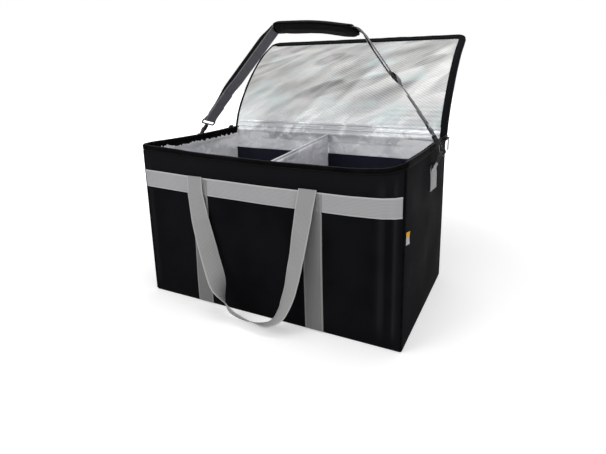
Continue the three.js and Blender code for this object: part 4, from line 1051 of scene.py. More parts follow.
def make_bands():
    middle = (BAND_LOW + BAND_HIGH) / 2
    for name, side in (("front", -1), ("back", 1)):
        runs = []

        def stitch(x, z, proud):
            runs.append(sewn(face_point(side, x, z, proud), (0, side, 0)))

        left, right = (BAND_LEFT, BAND_RIGHT) if side < 0 else (-294.0, 294.0)
        x = np.linspace(left, right, 150)
        share, rise = strip_section((-0.55, -0.2, 0.2, 0.55))
        a = share * (BAND_HIGH - BAND_LOW) / 2
        strip_on_wall(f"band_{name}", "band", side, x[:, None], middle + a, 0.25, rise,
                      cloth_grid(along(x[:, None]), a))
        for v in (-16.4, 16.4):
            stitch(x, middle + v, 1.95)
        for end in (left + 3, right - 3):
            stitch(end, np.linspace(middle - 16, middle + 16, 12), 1.95)
        for key, top_x, foot_x in (("left", LEFT_TOP_X, LEFT_FOOT_X), ("right", RIGHT_X, RIGHT_X)):
            z = np.concatenate([np.linspace(2.5, 250, 60), np.linspace(253, 291.5, 16)])
            x = foot_x + (top_x - foot_x) * smooth(z, 0, 260)
            proud = 0.25 + 1.55 * smooth(z, 251, 258)
            share, rise = strip_section((-0.4, 0.4))
            a = share * UPRIGHT_HALF
            strip_on_wall(f"upright_{name}_{key}", "upright", side, x[:, None] + a, z[:, None], proud[:, None],
                          rise, cloth_grid(z, a * 0.95))
            for v in (-17.4, 17.4):
                stitch(x + v, z, proud + 1.7)
            for low, high in ((260, 288), (288, 260)):
                stitch(np.linspace(-14, 14, 10) + x[-4], np.linspace(low, high, 10), 3.55)
            for level in (261, 288.5):
                stitch(np.linspace(-15, 15, 10) + x[-4], level, 3.55)
        stitches = piece(f"band_{name}_stitches", *gathered(runs), finish("thread"), slot="webbing")
        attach(stitches, "bag")


def make_label():
    y = np.linspace(*LABEL_Y, 12)
    z = np.linspace(*LABEL_Z, 10)
    yy, zz = np.meshgrid(y, z, indexing="ij")
    away = 0.6 + 3 * smooth(yy, *LABEL_Y) * (0.8 + 0.2 * np.sin(zz / 6))
    places = np.stack([np.full_like(yy, HALF_X), yy], -1)
    outs = np.zeros_like(places)
    outs[..., 0] = 1
    front = drape(places, outs, around(places), zz, away + 0.8)
    back = drape(places, outs, around(places), zz, away)
    points, faces = slab(front, back)
    uv = cloth_grid(y, z)
    tag = piece("side_label_cloth", points, faces, finish("label"), np.concatenate([uv, uv]), "label")
    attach(tag, "bag")
    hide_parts("side_label")


def lid_rows(part, inset, step, near=0, clear=40):
    """Rows of the lid's lower or upper part, step apart. near is where they begin, and clear is what the far
    end's corners keep."""
    if part == "lower":
        straight = np.arange(step, LID_SPLIT - step / 2, step)
        return plate_rows(LID_HALF, near, LID_SPLIT, (0, 0), inset, straight)
    straight = np.arange(LID_SPLIT + step, LID_LENGTH - clear, step)
    return plate_rows(LID_HALF, LID_SPLIT, LID_LENGTH, (0, LID_CORNER), inset, straight, 9)


# The lid's section from its foil face round its edge to its outer face, as inset and height
LID_LEVELS = [
    (LID_BORDER, -1.5), (LID_BORDER - 0.3, -0.9), (LID_BORDER - 0.8, 0.2), (LID_BORDER - 3, 0.8),
    (LID_BORDER - 6, 1.0), (9.4, 0.9), (8.2, 0.5), (6.9, 1.3), (4.6, 2.7), (2.4, 2.6), (0.9, 1.5), (0.1, -0.3),
    (0.0, -2.6), (0.1, -4.2), (0.6, -4.9), (0.6, -6.3), (0.1, -7.0),
    (0.0, -9.0), (0.3, -11.0), (1.4, -12.5), (3.2, -13.1), (6, -12.7), (8.5, -13.1), (20, -LID_THICK),
]


def lid_cover_point(x, t, h):
    edge = np.minimum(LID_HALF - np.abs(x), LID_LENGTH - t)
    puff = smooth(edge, 4, 60) * smooth(t, 0, 60)
    outer = -(1.4 + 0.7 * ripple(x, t, 70, 6.6)) * puff * (h < -LID_THICK + 0.4)
    wave = 0.8 * ripple(x, t, 30, 4.9) * smooth(16 - edge, 0, 14) * smooth(t, 10, 40)
    # The cut edges across the lid keep the border's section and stay below the foil between
    cut = (np.abs(t - LID_SPLIT) < 0.01) | (t < 0.01)
    insets, heights = np.array([level for level in LID_LEVELS if level[1] > -3]).T[:, ::-1]
    h = np.where(cut, np.minimum(h, np.interp(LID_HALF - np.abs(x), insets, heights)), h)
    return lid_point(x, t, h + outer + wave)


def bend_with_lid(obj, part):
    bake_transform(obj)


def lid_edge(inset, h, spacing):
    """A line round the lid's edge from its hinge on the left to its hinge on the right, with outward ways."""
    reach = LID_HALF - inset
    end, r = LID_LENGTH - inset, LID_CORNER - inset
    line = [(-reach, t) for t in np.linspace(6, end - r, 60)]
    line += [(-reach + r - r * math.cos(a), end - r + r * math.sin(a)) for a in np.linspace(0.1, 1.5, 14)]
    line += [(x, end) for x in np.linspace(r - reach, reach - r, 100)]
    line += [(reach - r + r * math.sin(a), end - r + r * math.cos(a)) for a in np.linspace(0.1, 1.5, 14)]
    line += [(reach, t) for t in np.linspace(end - r, 6, 60)]
    plan = resample(np.array(line), int(along(np.array(line))[-1] / spacing))
    heading = tangents(plan)
    out = np.stack([-heading[:, 1], heading[:, 0]], 1)
    place = lid_cover_point(plan[:, 0], plan[:, 1], np.full(len(plan), h))
    ahead = lid_cover_point(plan[:, 0] + out[:, 0], plan[:, 1] + out[:, 1], np.full(len(plan), h))
    inward = lid_cover_point(plan[:, 0], plan[:, 1], np.full(len(plan), h + 1)) - place
    return plan, place, tangents(place), ahead - place, inward


def make_lid():
    for part in ("lower", "upper"):
        points, faces, uv = plate(lambda d: lid_rows(part, d, 8.0), LID_LEVELS, 90, lid_cover_point)
        cover = piece(f"lid_cover_{part}", points, faces, finish("lid_oxford"), uv, "oxford", sharp=50)
        nodes = {"lower": (1, 2), "upper": (3,)}[part]
        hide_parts(*(f"lid_{kind}_{n}" for n in nodes for kind in ("shell", "foam")))
        bend_with_lid(cover, part)
        rows = lid_rows(part, LID_FOIL_EDGE, 6.0, 2, 36)
        share = np.linspace(-1, 1, 120)
        x, t = rows[:, 1:] * share[None], np.repeat(rows[:, :1], 120, 1)
        t = t - LID_FOIL_SHORT * smooth(t, LID_LENGTH - 70, LID_LENGTH - LID_FOIL_EDGE)
        edge = np.minimum(LID_HALF - np.abs(x), LID_LENGTH - LID_FOIL_SHORT - t) - LID_FOIL_EDGE
        x = x - LID_FOIL_LEFT * smooth(-x, LID_HALF - 60, LID_HALF - LID_FOIL_EDGE)
        folds, tone = foil_folds(x, t)
        rise = smooth(edge, 0, 10)
        pucker = 0.9 * ripple(x, t, 9, 3.9) * smooth(edge, 1, 6) * smooth(26 - edge, 0, 22)
        level = 0.9 * smooth(t, 60, 10) * np.abs(np.sin(x / 31 + ripple(x, t, 60, 1.1) * 2))
        height = -0.9 + rise * (1.7 + np.maximum(folds, -0.6)) + pucker + level * 0.8
        from_left = x + LID_HALF
        height = np.where(from_left < 20, np.maximum(height, 1.5 - 0.4 * smooth(from_left, 12, 20)), height)
        front = lid_point(x, t, height)
        back = lid_point(x, t, height - 0.7)
        uv = np.stack([x, t], -1).reshape(-1, 2)
        foil = piece(f"lid_foil_{part}", *slab(front, back), finish("lid_foil"), np.concatenate([uv, uv]),
                     "foil", sharp=70)
        # The painted light and shade of the folds, for the foil's material to read
        mark(foil, "fold", np.concatenate([tone, tone]))
        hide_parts(*(f"lid_lining_{n}" for n in nodes))
        bend_with_lid(foil, part)
    for name, inset, h, spacing, size, dress in (
        ("zip_teeth_lid", 0.3, -5.6, 2.5, (1.5, 1.6, 2.8), "coil"),
        ("lid_border_stitches", 8.7, 0.75, 4.0, (2.4, 0.5, 0.5), "dark_thread"),
        ("lid_back_stitches", 6.2, -12.9, 4.0, (2.4, 0.5, 0.5), "dark_thread"),
    ):
        plan, place, heading, out, inward = lid_edge(inset, h, spacing)
        way = out if name.startswith("zip") else (inward if h > 0 else -inward)
        for part, keep in (("lower", plan[:, 1] < LID_SPLIT), ("upper", plan[:, 1] >= LID_SPLIT)):
            block = studs(place[keep], heading[keep], way[keep], size)
            run = piece(f"{name}_{part}", *block, finish(dress), slot="binding")
            bend_with_lid(run, part)


def hinge_strip(name, path, half, finish_name, slot_name, bulge, thick):
    """A strip of cloth or foil along the hinge, from the back wall up onto the lid."""
    line = resample(curve_through(np.array(path, float), 6), 26)
    heading = tangents(line)
    way = np.stack([-heading[:, 1], heading[:, 0]], 1)
    x = np.linspace(-half, half, 110)
    share = np.linspace(0, 1, 26)
    xx = np.repeat(x[:, None], 26, 1)
    wave = ripple(xx, share[None] * 40, 24, 5.2, 3) + 0.6 * np.sin(share * 9)[None] * ripple(xx, 0, 60, 2.5)
    wave = bulge * wave * np.sin(np.pi * share)[None] ** 0.5

    def pushed(extra):
        return np.concatenate([xx[..., None], line[None] + way[None] * (wave + extra)[..., None]], -1)

    points, faces = slab(pushed(thick / 2), pushed(-thick / 2))
    length = along(line)
    uv = cloth_grid(x, length)
    strip = piece(name, points, faces, finish(finish_name), np.concatenate([uv, uv]), slot_name, sharp=60)
    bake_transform(strip)


def on_lid(t, h):
    y, z, ny, nz = lid_frame(np.array(float(t)))
    return float(y + ny * h), float(z + nz * h)


def make_hinge():
    outer = [(176.6, 318), (176.7, 330), (177.6, 338.5), (181.5, 342.2), (186.6, 343.6),
             on_lid(3, -LID_THICK - 1.0), on_lid(12, -LID_THICK - 1.2), on_lid(26, -LID_THICK - 1.2)]
    hinge_strip("hinge_cloth", outer, 298.5, "oxford", "oxford", 0.25, 1.2)
    inner = [(167.2, 322), (167.0, 336), (166.4, 342), (167.6, 347), (170.6, 350.5), (170.8, 355),
             (173.4, 359), (178.6, 362.4), on_lid(16, 2.0), on_lid(21, 1.6)]
    hinge_strip("hinge_foil", inner, 286.5, "hinge_foil", "foil", 0.7, 0.7)


def handle_frames(side):
    """The hanging loop of a carrying handle: middle line and the way across it."""
    shares = np.array(HANDLE_LINE, float)
    flat = np.stack([HANDLE_X[0] + (HANDLE_X[1] - HANDLE_X[0]) * shares[:, 0], np.zeros(len(shares)),
                     -shares[:, 1] * HANDLE_DROP], 1)
    line = resample(curve_through(flat, 14), 190)
    heading = tangents(line)
    heading[0], heading[-1] = (0, 0, -1), (0, 0, 1)
    shares, turns = np.array(HANDLE_TWIST, float).T
    twist = np.interp(np.linspace(0, 1, len(line)), shares, turns)
    twist = np.radians(np.convolve(np.pad(twist, 4, mode="edge"), np.full(9, 1 / 9), "valid"))[:, None]
    outward = np.array([0.0, -1.0, 0.0])
    level = unit(np.cross(heading, outward))
    across = level * np.cos(twist) + outward * np.sin(twist)
    c, s = math.cos(-HANDLE_LEAN), math.sin(-HANDLE_LEAN)
    lean = np.array([[1, 0, 0], [0, c, -s], [0, s, c]])
    turn = np.diag([-side, -side, 1.0])
    where = turn @ lean
    centre = np.array([0, side * HANDLE_OUT, HANDLE_TOP])
    return line @ where.T + centre, across @ where.T


def off_floor(points):
    """A handle's lowest part pressed up to lie just over the floor."""
    points = points.copy()
    points[:, 2] -= FLOOR_PRESS * np.minimum(points[:, 2] - FLOOR_REACH, 0)
    return points


def make_handles():
    for name, side in (("front", -1), ("back", 1)):
        line, across = handle_frames(side)
        width = sizes().webbing * 1000
        cup = np.sin(np.linspace(0, np.pi, len(line)))
        points, faces, uv = webbing(line, across, width, 1.7, 10)
        rings = points.reshape(len(line), -1, 3)
        share = uv.reshape(len(line), -1, 2)[:, :, 1] / (width / 2)
        normal = unit(np.cross(tangents(line), across))
        lag = 1.4 * ripple(along(line)[:, None], share * 8, 34, 2.4) * smooth(cup, 0, 0.3)[:, None]
        rings = rings + normal[:, None] * (lag + 1.2 * cup[:, None] * share**2)[..., None]
        points = off_floor(rings.reshape(-1, 3))
        loop = piece(f"handle_{name}_webbing", points, faces, finish("handle"), uv, "webbing", sharp=50)
        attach(loop, f"{name}_handle")
        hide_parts(f"handle_{name}")
        parts = []
        for v in (-0.86, 0.86):
            drift = np.array([np.interp(v, share[k, :11], lag[k, :11]) for k in range(len(line))])
            height = drift + 1.2 * cup * v**2
            for face in (1, -1):
                run = line + across * v * width / 2 + normal * (height + face * 0.85)[:, None]
                parts.append(sewn(run[2:-2], (normal * face)[2:-2]))
        points, faces = gathered(parts)
        stitches = piece(f"handle_{name}_stitches", off_floor(points), faces, finish("thread"), slot="webbing")
        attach(stitches, f"{name}_handle")


def make_divider():
    foot, half, tall, middle = 7.9, 165.2, 320, -0.5
    top = lambda y: tall + 22 * np.clip((y + 165.8) / 330.6, 0, 1)

    def place(x, t, h):
        y = x + middle
        edge = np.minimum(half - np.abs(x), np.minimum(t, tall - t))
        dent = np.sign(h) * (0.7 * ripple(y, t * 1.2 + h * 40, 55, 8.8) + 0.35 * ripple(y, t, 16, 4.2, 3))
        swellings = dent * smooth(edge, 6, 40)
        lean = 1.5 * ripple(y, t, 120, 1.9) * smooth(edge, 0, 60)
        return np.stack([h + swellings + lean, y, foot + t / tall * (top(y) - foot)], -1)

    rows_at = lambda d: plate_rows(half, 0, tall, (4, 4), d, np.arange(16, 306, 9.0))
    levels = [(9, 3.3), (6, 3.0), (4.2, 1.6), (3.6, 0.7), (0.3, 0.6), (0.0, 0.2), (0.0, -0.2), (0.3, -0.6),
              (3.6, -0.7), (4.2, -1.6), (6, -3.0), (9, -3.3)]
    points, faces, uv = plate(rows_at, levels, 64, place)
    pillow = piece("divider_pillow", points, faces, finish("divider_foil"), uv, "foil", sharp=50)
    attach(pillow, "divider")
    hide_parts("divider_cover", "divider_core")
    y = np.linspace(-162, 161, 60)
    hem = np.stack([np.zeros(60), y, top(y) + 0.2], 1)
    points, faces = tube(hem, 1.5, 8, flat=1.3)
    edge = piece("divider_hem", points, faces, finish("hem"), slot="foil",
                 uv=cloth_grid(y, np.arange(8.0)))
    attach(edge, "divider")


def make_tabs():
    bar_x, bar_z = RING_BAR
    for name, side in (("left", -1), ("right", 1)):
        turns = np.radians(np.linspace(200, -75, 22))
        loop = [(bar_x + WEB_TURN * math.cos(a), bar_z + WEB_TURN * math.sin(a)) for a in turns]
        path = [(301.2, 258.5), (301.2, 268), (301.15, 284), (301.1, 300)] + loop
        path += [(303.3, 301), (303.0, 297), (302.95, 284), (302.95, 268), (303.0, 260.5)]
        line = resample(np.array(path, float), 90)
        centres = np.stack([side * (line[:, 0] + 2.1), np.full(90, STRAP_Y), line[:, 1]], 1)
        turned = unit(np.array([side * TAB_TURN, 1.0, 0.0]))
        push = swell(around(np.array([side * HALF_X, STRAP_Y])), line[:, 1])
        fade = 1 - smooth(line[:, 1], 285, 300)
        proud = 19 * TAB_TURN * smooth(310 - line[:, 1], 0, 20)
        centres[:, 0] += side * ((push - 2.1) * fade + proud) - side * 2.1 * (1 - fade)
        slant = smooth(318 - line[:, 1], 0, 24)[:, None]
        across = unit(turned * slant + np.array([0, 1.0, 0]) * (1 - slant))
        points, faces, uv = webbing(centres, across, sizes().webbing * 1000, WEB_THICK)
        tab = piece(f"tab_{name}_webbing", points, faces, finish("band"), uv, "webbing", sharp=50)
        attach(tab, "bag")
        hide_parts(f"tab_{name}")
        face = side * (303.9 + float(push.mean()) + 19 * TAB_TURN)

        def on_tab(y, z):
            y, z = np.broadcast_arrays(np.asarray(y, float), np.asarray(z, float))
            return np.stack([face + side * TAB_TURN * y, STRAP_Y + y, z], -1)

        level, slope, up = np.linspace(-15, 15, 12), np.linspace(-15, 15, 10), np.linspace(264, 292, 10)
        box = ((level, 264), (level, 292), (-15, up), (15, up), (-slope, up), (slope, up))
        parts = [sewn(on_tab(y, z), (side, 0, 0)) for y, z in box]
        stitches = piece(f"tab_{name}_stitches", *gathered(parts), finish("thread"), slot="webbing")
        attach(stitches, "bag")


def in_plane(x, v, across=0.0):
    """A point of the strap's leaning plane."""
    x, v, across = np.broadcast_arrays(*(np.asarray(k, float) for k in (x, v, across)))
    base = np.stack([x, np.full_like(x, STRAP_Y), np.full_like(x, STRAP_Z)], -1)
    return base + v[..., None] * STRAP_UP + across[..., None] * STRAP_ACROSS


def strap_line():
    """The strap's middle line in its plane, from the left eye over the pad to the right eye."""
    left, right = np.array([-EYE[0], EYE[1]]), np.array(EYE)
    crown = (np.array(PAD_LEFT) + np.array(PAD_RIGHT)) / 2 + (0, PAD_CROWN)
    corners = [left, np.array(PAD_LEFT), crown, np.array(PAD_RIGHT), right]
    line = [corners[0]]
    for before, corner, after in zip(corners, corners[1:], corners[2:]):
        first, second = unit(before - corner), unit(after - corner)
        half = math.acos(np.clip(first @ second, -1, 1)) / 2
        reach = (CROWN_BEND if corner is crown else STRAP_BEND) / math.tan(half)
        a, b = corner + first * reach, corner + second * reach
        for share in np.linspace(0, 1, 9):
            line.append((1 - share) ** 2 * a + 2 * share * (1 - share) * corner + share**2 * b)
    line.append(corners[-1])
    return resample(np.array(line), 420)


def strap_run(line, low, high, lift, count):
    """Part of the strap's line between two lengths, lifted off it."""
    part = follow(line, along(line), np.linspace(low, high, count))
    heading = tangents(part)
    up = np.stack([-heading[:, 1], heading[:, 0]], 1)
    return part + up * np.asarray(lift, float).reshape(-1, 1)


def flat_strip(name, plan, finish_name, thick=WEB_THICK, shift=0.0):
    """Webbing that follows a line in the strap's plane."""
    centres = in_plane(plan[:, 0], plan[:, 1], shift)
    points, faces, uv = webbing(centres, STRAP_ACROSS, sizes().webbing * 1000, thick)
    return piece(name, points, faces, finish(finish_name), uv, "webbing", sharp=50)


def eye_loop(line, stitched, end, side):
    """The strap's end: its stitched tail, the turn round the eye's bar, and the run up the leg."""
    eye = line[0] if side < 0 else line[-1]
    heading = unit((line[30] - line[0]) if side < 0 else (line[-31] - line[-1]))
    up = np.array([-heading[1], heading[0]]) * (1 if side < 0 else -1)
    path = [eye + heading * stitched - up * 1.15, eye + heading * 14 - up * 1.2]
    for turn in np.radians(np.linspace(-75, -285, 24)):
        path.append(eye + WEB_TURN * (math.cos(turn) * heading + math.sin(turn) * up))
    path += [eye + heading * 14 + up * 0.75, eye + heading * end + up * 0.75]
    return resample(np.array(path), 150)


def strap_place(line, at):
    """The point of the strap's middle line at a length along it."""
    length = along(line)
    return in_plane(*(float(np.interp(at, length, line[:, k])) for k in range(2)))


def leaned_back(point, side):
    """A point turned back by what the rings lean out when the lid closes."""
    x, y, z = point - np.array([side * RING_BAR[0], 0, RING_BAR[1]])
    turn = -side * RING_LEAN
    c, s = math.cos(turn), math.sin(turn)
    return np.array([x * c + z * s + side * RING_BAR[0], y, z * c - x * s + RING_BAR[1]])


def loop_fold(line, side):
    """The way a strap's end loop flattens as the lid closes, and how much of it stays, so that its top slides
    down the strap."""
    total = along(line)[-1]
    from_eye = lambda length: strap_place(line, length if side < 0 else total - length)
    top = from_eye(LOOP_LENGTH)
    shift = leaned_back(from_eye(LOOP_CLOSED), side) - top
    keep = 1 + (shift @ shift) / ((top - from_eye(0)) @ shift)
    return unit(shift), max(float(keep), 0.06)


def make_strap():
    line = strap_line()
    total = along(line)[-1]
    pad_low, pad_high = total / 2 - PAD_LENGTH / 2, total / 2 + PAD_LENGTH / 2
    for name, side in (("left", -1), ("right", 1)):
        leg = flat_strip(f"strap_loop_{name}", eye_loop(line, 46, LOOP_LENGTH, side), "strap")
        axis, keep = loop_fold(line, side)
        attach(leg, f"{name}_swivel")
        tuple(axis)
        tuple(in_plane(side * EYE[0], EYE[1]) / 1000)
        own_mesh(leg)

    share = np.linspace(0, 1, 260)
    inward = np.minimum(share, 1 - share) * total
    lift = 0.6 + 2.3 * smooth(inward, 120, 85)
    middle = strap_run(line, LOOP_CLOSED - 10, total - LOOP_CLOSED + 10, lift, 260)
    top = flat_strip("strap_middle", middle, "strap")
    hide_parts("strap_webbing")
    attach(top, "strap")
    way = np.linspace(0, 1, 70)
    outer = 4.6 + 8.0 * smooth(way, 0.02, 0.3) - 7.0 * smooth(way, 0.82, 1)
    behind = strap_run(line, 30, pad_low + 6, outer, 70)
    backing = flat_strip("strap_left_backing", behind, "strap_black", 3.2, shift=-2.0)
    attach(backing, "strap")
    under = -1.3 - 3.6 * smooth(way, 0.05, 0.4) * smooth(1 - way, 0.0, 0.2)
    second = strap_run(line, pad_high + 3, total - BUCKLE_FROM_END + 10, under, 70)
    doubled = flat_strip("strap_right_doubled", second, "strap", 1.4)
    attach(doubled, "strap")
    parts = []
    ends = (strap_run(line, LOOP_LENGTH - 44, LOOP_LENGTH - 6, 3.7, 24),
            strap_run(line, total - LOOP_LENGTH + 6, total - LOOP_LENGTH + 44, 3.7, 24))
    for run_of in ends:
        for v in (-16.2, 16.2):
            run = in_plane(run_of[:, 0], run_of[:, 1], v)
            away = np.cross(tangents(run), STRAP_ACROSS)
            away = away * np.sign(away @ np.array([0, 0, 1.0]))[:, None]
            parts.append(sewn(run, away))
    stitches = piece("strap_middle_stitches", *gathered(parts), finish("dark_thread"), slot="webbing")
    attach(stitches, "strap")


def inflate(obj, voxel, pressure, cap):
    """Puffs a closed pad with a short cloth simulation, its points held to within cap of where they began."""
    scene = bpy.context.scene
    remesh = obj.modifiers.new("Even", "REMESH")
    remesh.mode = "VOXEL"
    remesh.voxel_size = voxel
    settle(obj)
    start = np.array([v.co for v in obj.data.vertices])
    cloth = obj.modifiers.new("Cloth", "CLOTH")
    cloth.settings.quality = 6
    cloth.settings.mass = 0.2
    cloth.settings.tension_stiffness = 18
    cloth.settings.compression_stiffness = 18
    cloth.settings.bending_stiffness = 1.5
    cloth.settings.use_pressure = True
    cloth.settings.uniform_pressure_force = pressure
    cloth.settings.effector_weights.gravity = 0
    for step in range(1, 21):
        scene.frame_set(step)
    settle(obj)
    moved = np.array([v.co for v in obj.data.vertices]) - start
    far = np.linalg.norm(moved, axis=1, keepdims=True)
    held = start + moved * np.minimum(1, cap / np.maximum(far, 1e-9))
    obj.data.vertices.foreach_set("co", held.astype(np.float32).ravel())
    scene.frame_set(1)
    smoother = obj.modifiers.new("Finer", "SUBSURF")
    smoother.levels = 1
    settle(obj, 80)


def make_pad():
    line = strap_line()
    length = along(line)
    low = length[-1] / 2 - PAD_LENGTH / 2
    heading = tangents(line)

    def on_pad(x, t, depth):
        at = low + t
        px, pv = (np.interp(at, length, line[:, k]) for k in range(2))
        hx, hv = (np.interp(at, length, heading[:, k]) for k in range(2))
        return in_plane(px - hv * depth, pv + hx * depth, x)

    def rows_at(inset, less=0):
        corner = 27 - less
        straight = np.arange(32, 198, 7.0)
        return plate_rows(PAD_WIDTH / 2 - less, less, PAD_LENGTH - less, (corner, corner), inset, straight, 9)

    def from_edge(x, t, less=0):
        return np.minimum(PAD_WIDTH / 2 - less - np.abs(x), np.minimum(t - less, PAD_LENGTH - less - t))

    def place(x, t, h):
        full = np.sign(h) * (1.5 + 3.6 * (h < 0)) * smooth(from_edge(x, t), 0, 14)
        return on_pad(x, t, h + full - PAD_THICK / 2 - 1.1)

    levels = [(7, 3.0), (4, 2.6), (1.6, 1.7), (0.3, 0.7), (0, 0), (0.3, -0.7), (1.6, -1.7), (4, -2.6), (7, -3.0)]
    points, faces, uv = plate(rows_at, levels, 18, place)
    pad = piece("shoulder_pad_cushion", points, faces, finish("pad"), uv, "pad", sharp=60)
    inflate(pad, 0.0032, 4.0, 0.0022)
    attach(pad, "strap")
    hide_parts("shoulder_pad")

    def over(x, t, h):
        return on_pad(x, t, h - 4.4 + 8.7 * np.sqrt(smooth(from_edge(x, t, 1), -1, 10)))

    levels = [(1.2, 0.5), (0.2, 0.3), (0.2, -0.3), (1.2, -0.5)]
    points, faces, uv = plate(lambda d: rows_at(d, 1), levels, 22, over)
    cover = piece("shoulder_pad_cover", points, faces, finish("pad"), uv, "pad", sharp=60)
    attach(cover, "strap")
    rows = rows_at(0.2)
    ring = np.array([(-w, t) for t, w in rows] + [(w, t) for t, w in rows[::-1]])
    loop = resample(np.concatenate([ring, ring[:1]]), 160)[:-1]
    hem = place(loop[:, 0], loop[:, 1], np.zeros(len(loop)))
    points, faces = tube(hem, 1.5, 8, closed=True, plane=STRAP_UP)
    bound = piece("shoulder_pad_hem", points, faces, finish("binding"), slot="pad", sharp=60,
                  uv=cloth_grid(np.arange(159.0) * 3, np.arange(8.0)))
    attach(bound, "strap")


def make_buckle():
    line = strap_line()
    total = along(line)[-1]
    spot = strap_run(line, total - BUCKLE_FROM_END - 0.5, total - BUCKLE_FROM_END + 0.5, 0, 2)
    centre = spot.mean(0)
    heading = unit(spot[1] - spot[0])
    up = np.array([-heading[1], heading[0]])
    half_long, half_wide, corner = 14.0, 24.5, 4
    loop = []
    for way_x, way_y, first in ((1, 1, 0), (-1, 1, 90), (-1, -1, 180), (1, -1, 270)):
        cx, cy = way_x * (half_long - corner), way_y * (half_wide - corner)
        for k in range(6):
            turn = math.radians(first + 18 * k)
            loop.append((cx + corner * math.cos(turn), cy + corner * math.sin(turn)))
    loop = resample(np.array(loop + loop[:1]), 64)[:-1]

    def place(a, b, lift):
        flat = centre + heading * a[:, None] + up * lift
        return in_plane(flat[:, 0], flat[:, 1], b)

    ring = place(loop[:, 0], loop[:, 1], 0.9)
    normal = in_plane(*up, 0) - in_plane(0, 0, 0)
    b = np.linspace(1 - half_wide, half_wide - 1, 14)
    bars = [tube(ring, 2.3, 10, closed=True, flat=0.9, plane=normal),
            tube(place(np.zeros(14), b, 0.9 - 3.4), 1.6, 10, flat=0.8, plane=normal)]
    for side in (-1, 1):
        a = np.linspace(-5, 5, 8)
        bars.append(tube(place(a, np.full(8, side * (half_wide - 0.8)), -1.2), 1.5, 8, plane=normal))
    lump = [(-13, 2.2), (-8, 5.4), (-1, 6.6), (6, 5.2), (12, 2.4)]
    bulge = resample(curve_through(np.array(lump)), 30)
    plan = centre + heading * bulge[:, :1] + up * bulge[:, 1:]
    turned = flat_strip("strap_buckle_loop", plan, "strap")
    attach(turned, "adjuster")
    buckle = piece("strap_buckle", *gathered(bars), finish("hardware"), slot="hardware", sharp=60)
    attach(buckle, "adjuster")
    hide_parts("strap_adjuster")


def dress_hardware():
    """New finishes for the rigid parts that stay as the frame gives them."""
    for name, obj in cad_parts.items():
        kind = name.split("_")[0]
        if kind in ("dring", "hook", "gate", "slider", "pull"):
            dress = "hardware"
        elif kind == "swivel":
            dress = "swivel_metal"
        elif name == "back_board":
            dress = "board"
        else:
            continue
        obj.data.materials.clear()
        obj.data.materials.append(finish(dress))
        shade(obj.data, 42)


def set_camera():
    data = bpy.data.cameras.new("view")
    data.sensor_width = SENSOR_WIDTH
    data.lens = SENSOR_WIDTH * FOCAL_SHARE
    data.shift_x = -0.0238
    data.shift_y = -0.0924
    data.clip_start = 0.01
    camera = bpy.data.objects.new("view", data)
    azimuth, pitch, roll = (math.radians(a) for a in CAMERA_TURNS)
    level, drop = math.cos(pitch), math.sin(pitch)
    ahead = Vector((-math.sin(azimuth) * level, math.cos(azimuth) * level, -drop))
    right = ahead.cross(Vector((0, 0, 1))).normalized()
    up = right.cross(ahead)
    level_right = right * math.cos(roll) + up * math.sin(roll)
    level_up = up * math.cos(roll) - right * math.sin(roll)
    camera.rotation_mode = "QUATERNION"
    camera.rotation_quaternion = Matrix((level_right, level_up, -ahead)).transposed().to_quaternion()
    camera.location = CAMERA_PLACE
    bpy.context.scene.collection.objects.link(camera)
    bpy.context.scene.camera = camera


def lamp(name, place, aim, power):
    data = bpy.data.lights.new(name, "AREA")
    data.energy = power
    data.size = LAMP_SIZE
    made = bpy.data.objects.new(name, data)
    made.location = place
    made.rotation_euler = (Vector(aim) - Vector(place)).to_track_quat("-Z", "Y").to_euler()
    bpy.context.scene.collection.objects.link(made)


def seen_directly(tree):
    """1 for what the camera, metal and glass see, and 0 for what lights the bag."""
    path = node(tree, "LightPath").outputs
    return sums(tree, "MAXIMUM", path["Is Camera Ray"],
                sums(tree, "MAXIMUM", path["Is Glossy Ray"], path["Is Transmission Ray"]))


def set_stage():
    scene = bpy.context.scene
    scene.view_settings.view_transform = "Standard"
    world = bpy.data.worlds.new("studio")
    scene.world = world
    world.use_nodes = True
    tree = world.node_tree
    back = tree.nodes["Background"]
    back.inputs["Color"].default_value = (1, 1, 1, 1)
    tree.links.new(between(tree, seen_directly(tree), 0, 1, 0.5, 1.0), back.inputs["Strength"])
    material, tree, shader = surface("pale_floor", 0.9)
    where = in_bag(tree)
    grainy = grain(tree, where, 3.0)
    tree.links.new(blended(tree, grainy, (0.8, 0.8, 0.8), (0.82, 0.82, 0.82)), shader.inputs["Base Color"])
    away = node(tree, "VectorMath", {"operation": "LENGTH"}, i0=where).outputs["Value"]
    far = between(tree, away, 0.55, 1.5)
    shine = sums(tree, "MULTIPLY_ADD", far, 0.6, 0.4)
    glow = node(tree, "Emission", Color=(1, 1, 1, 1))
    tree.links.new(sums(tree, "MULTIPLY", seen_directly(tree), shine), glow.inputs["Strength"])
    both = node(tree, "AddShader", i0=shader.outputs[0], i1=glow.outputs[0])
    tree.links.new(both.outputs[0], tree.nodes["Material Output"].inputs["Surface"])
    points = [(-9000, -9000, 0), (9000, -9000, 0), (9000, 9000, 0), (-9000, 9000, 0)]
    floor = piece("floor", points, [(0, 1, 2, 3)], material, shut=False)
    floor.location.z = -0.0004
    lamp("key", (-1.3, -2.0, 1.9), (0, 0, 0.3), 24)
    lamp("fill", (1.8, -1.1, 1.5), (0, 0, 0.3), 5)
    lamp("top", (0.2, 0.1, 2.6), (0, 0.1, 0.3), 18)


# The add-on

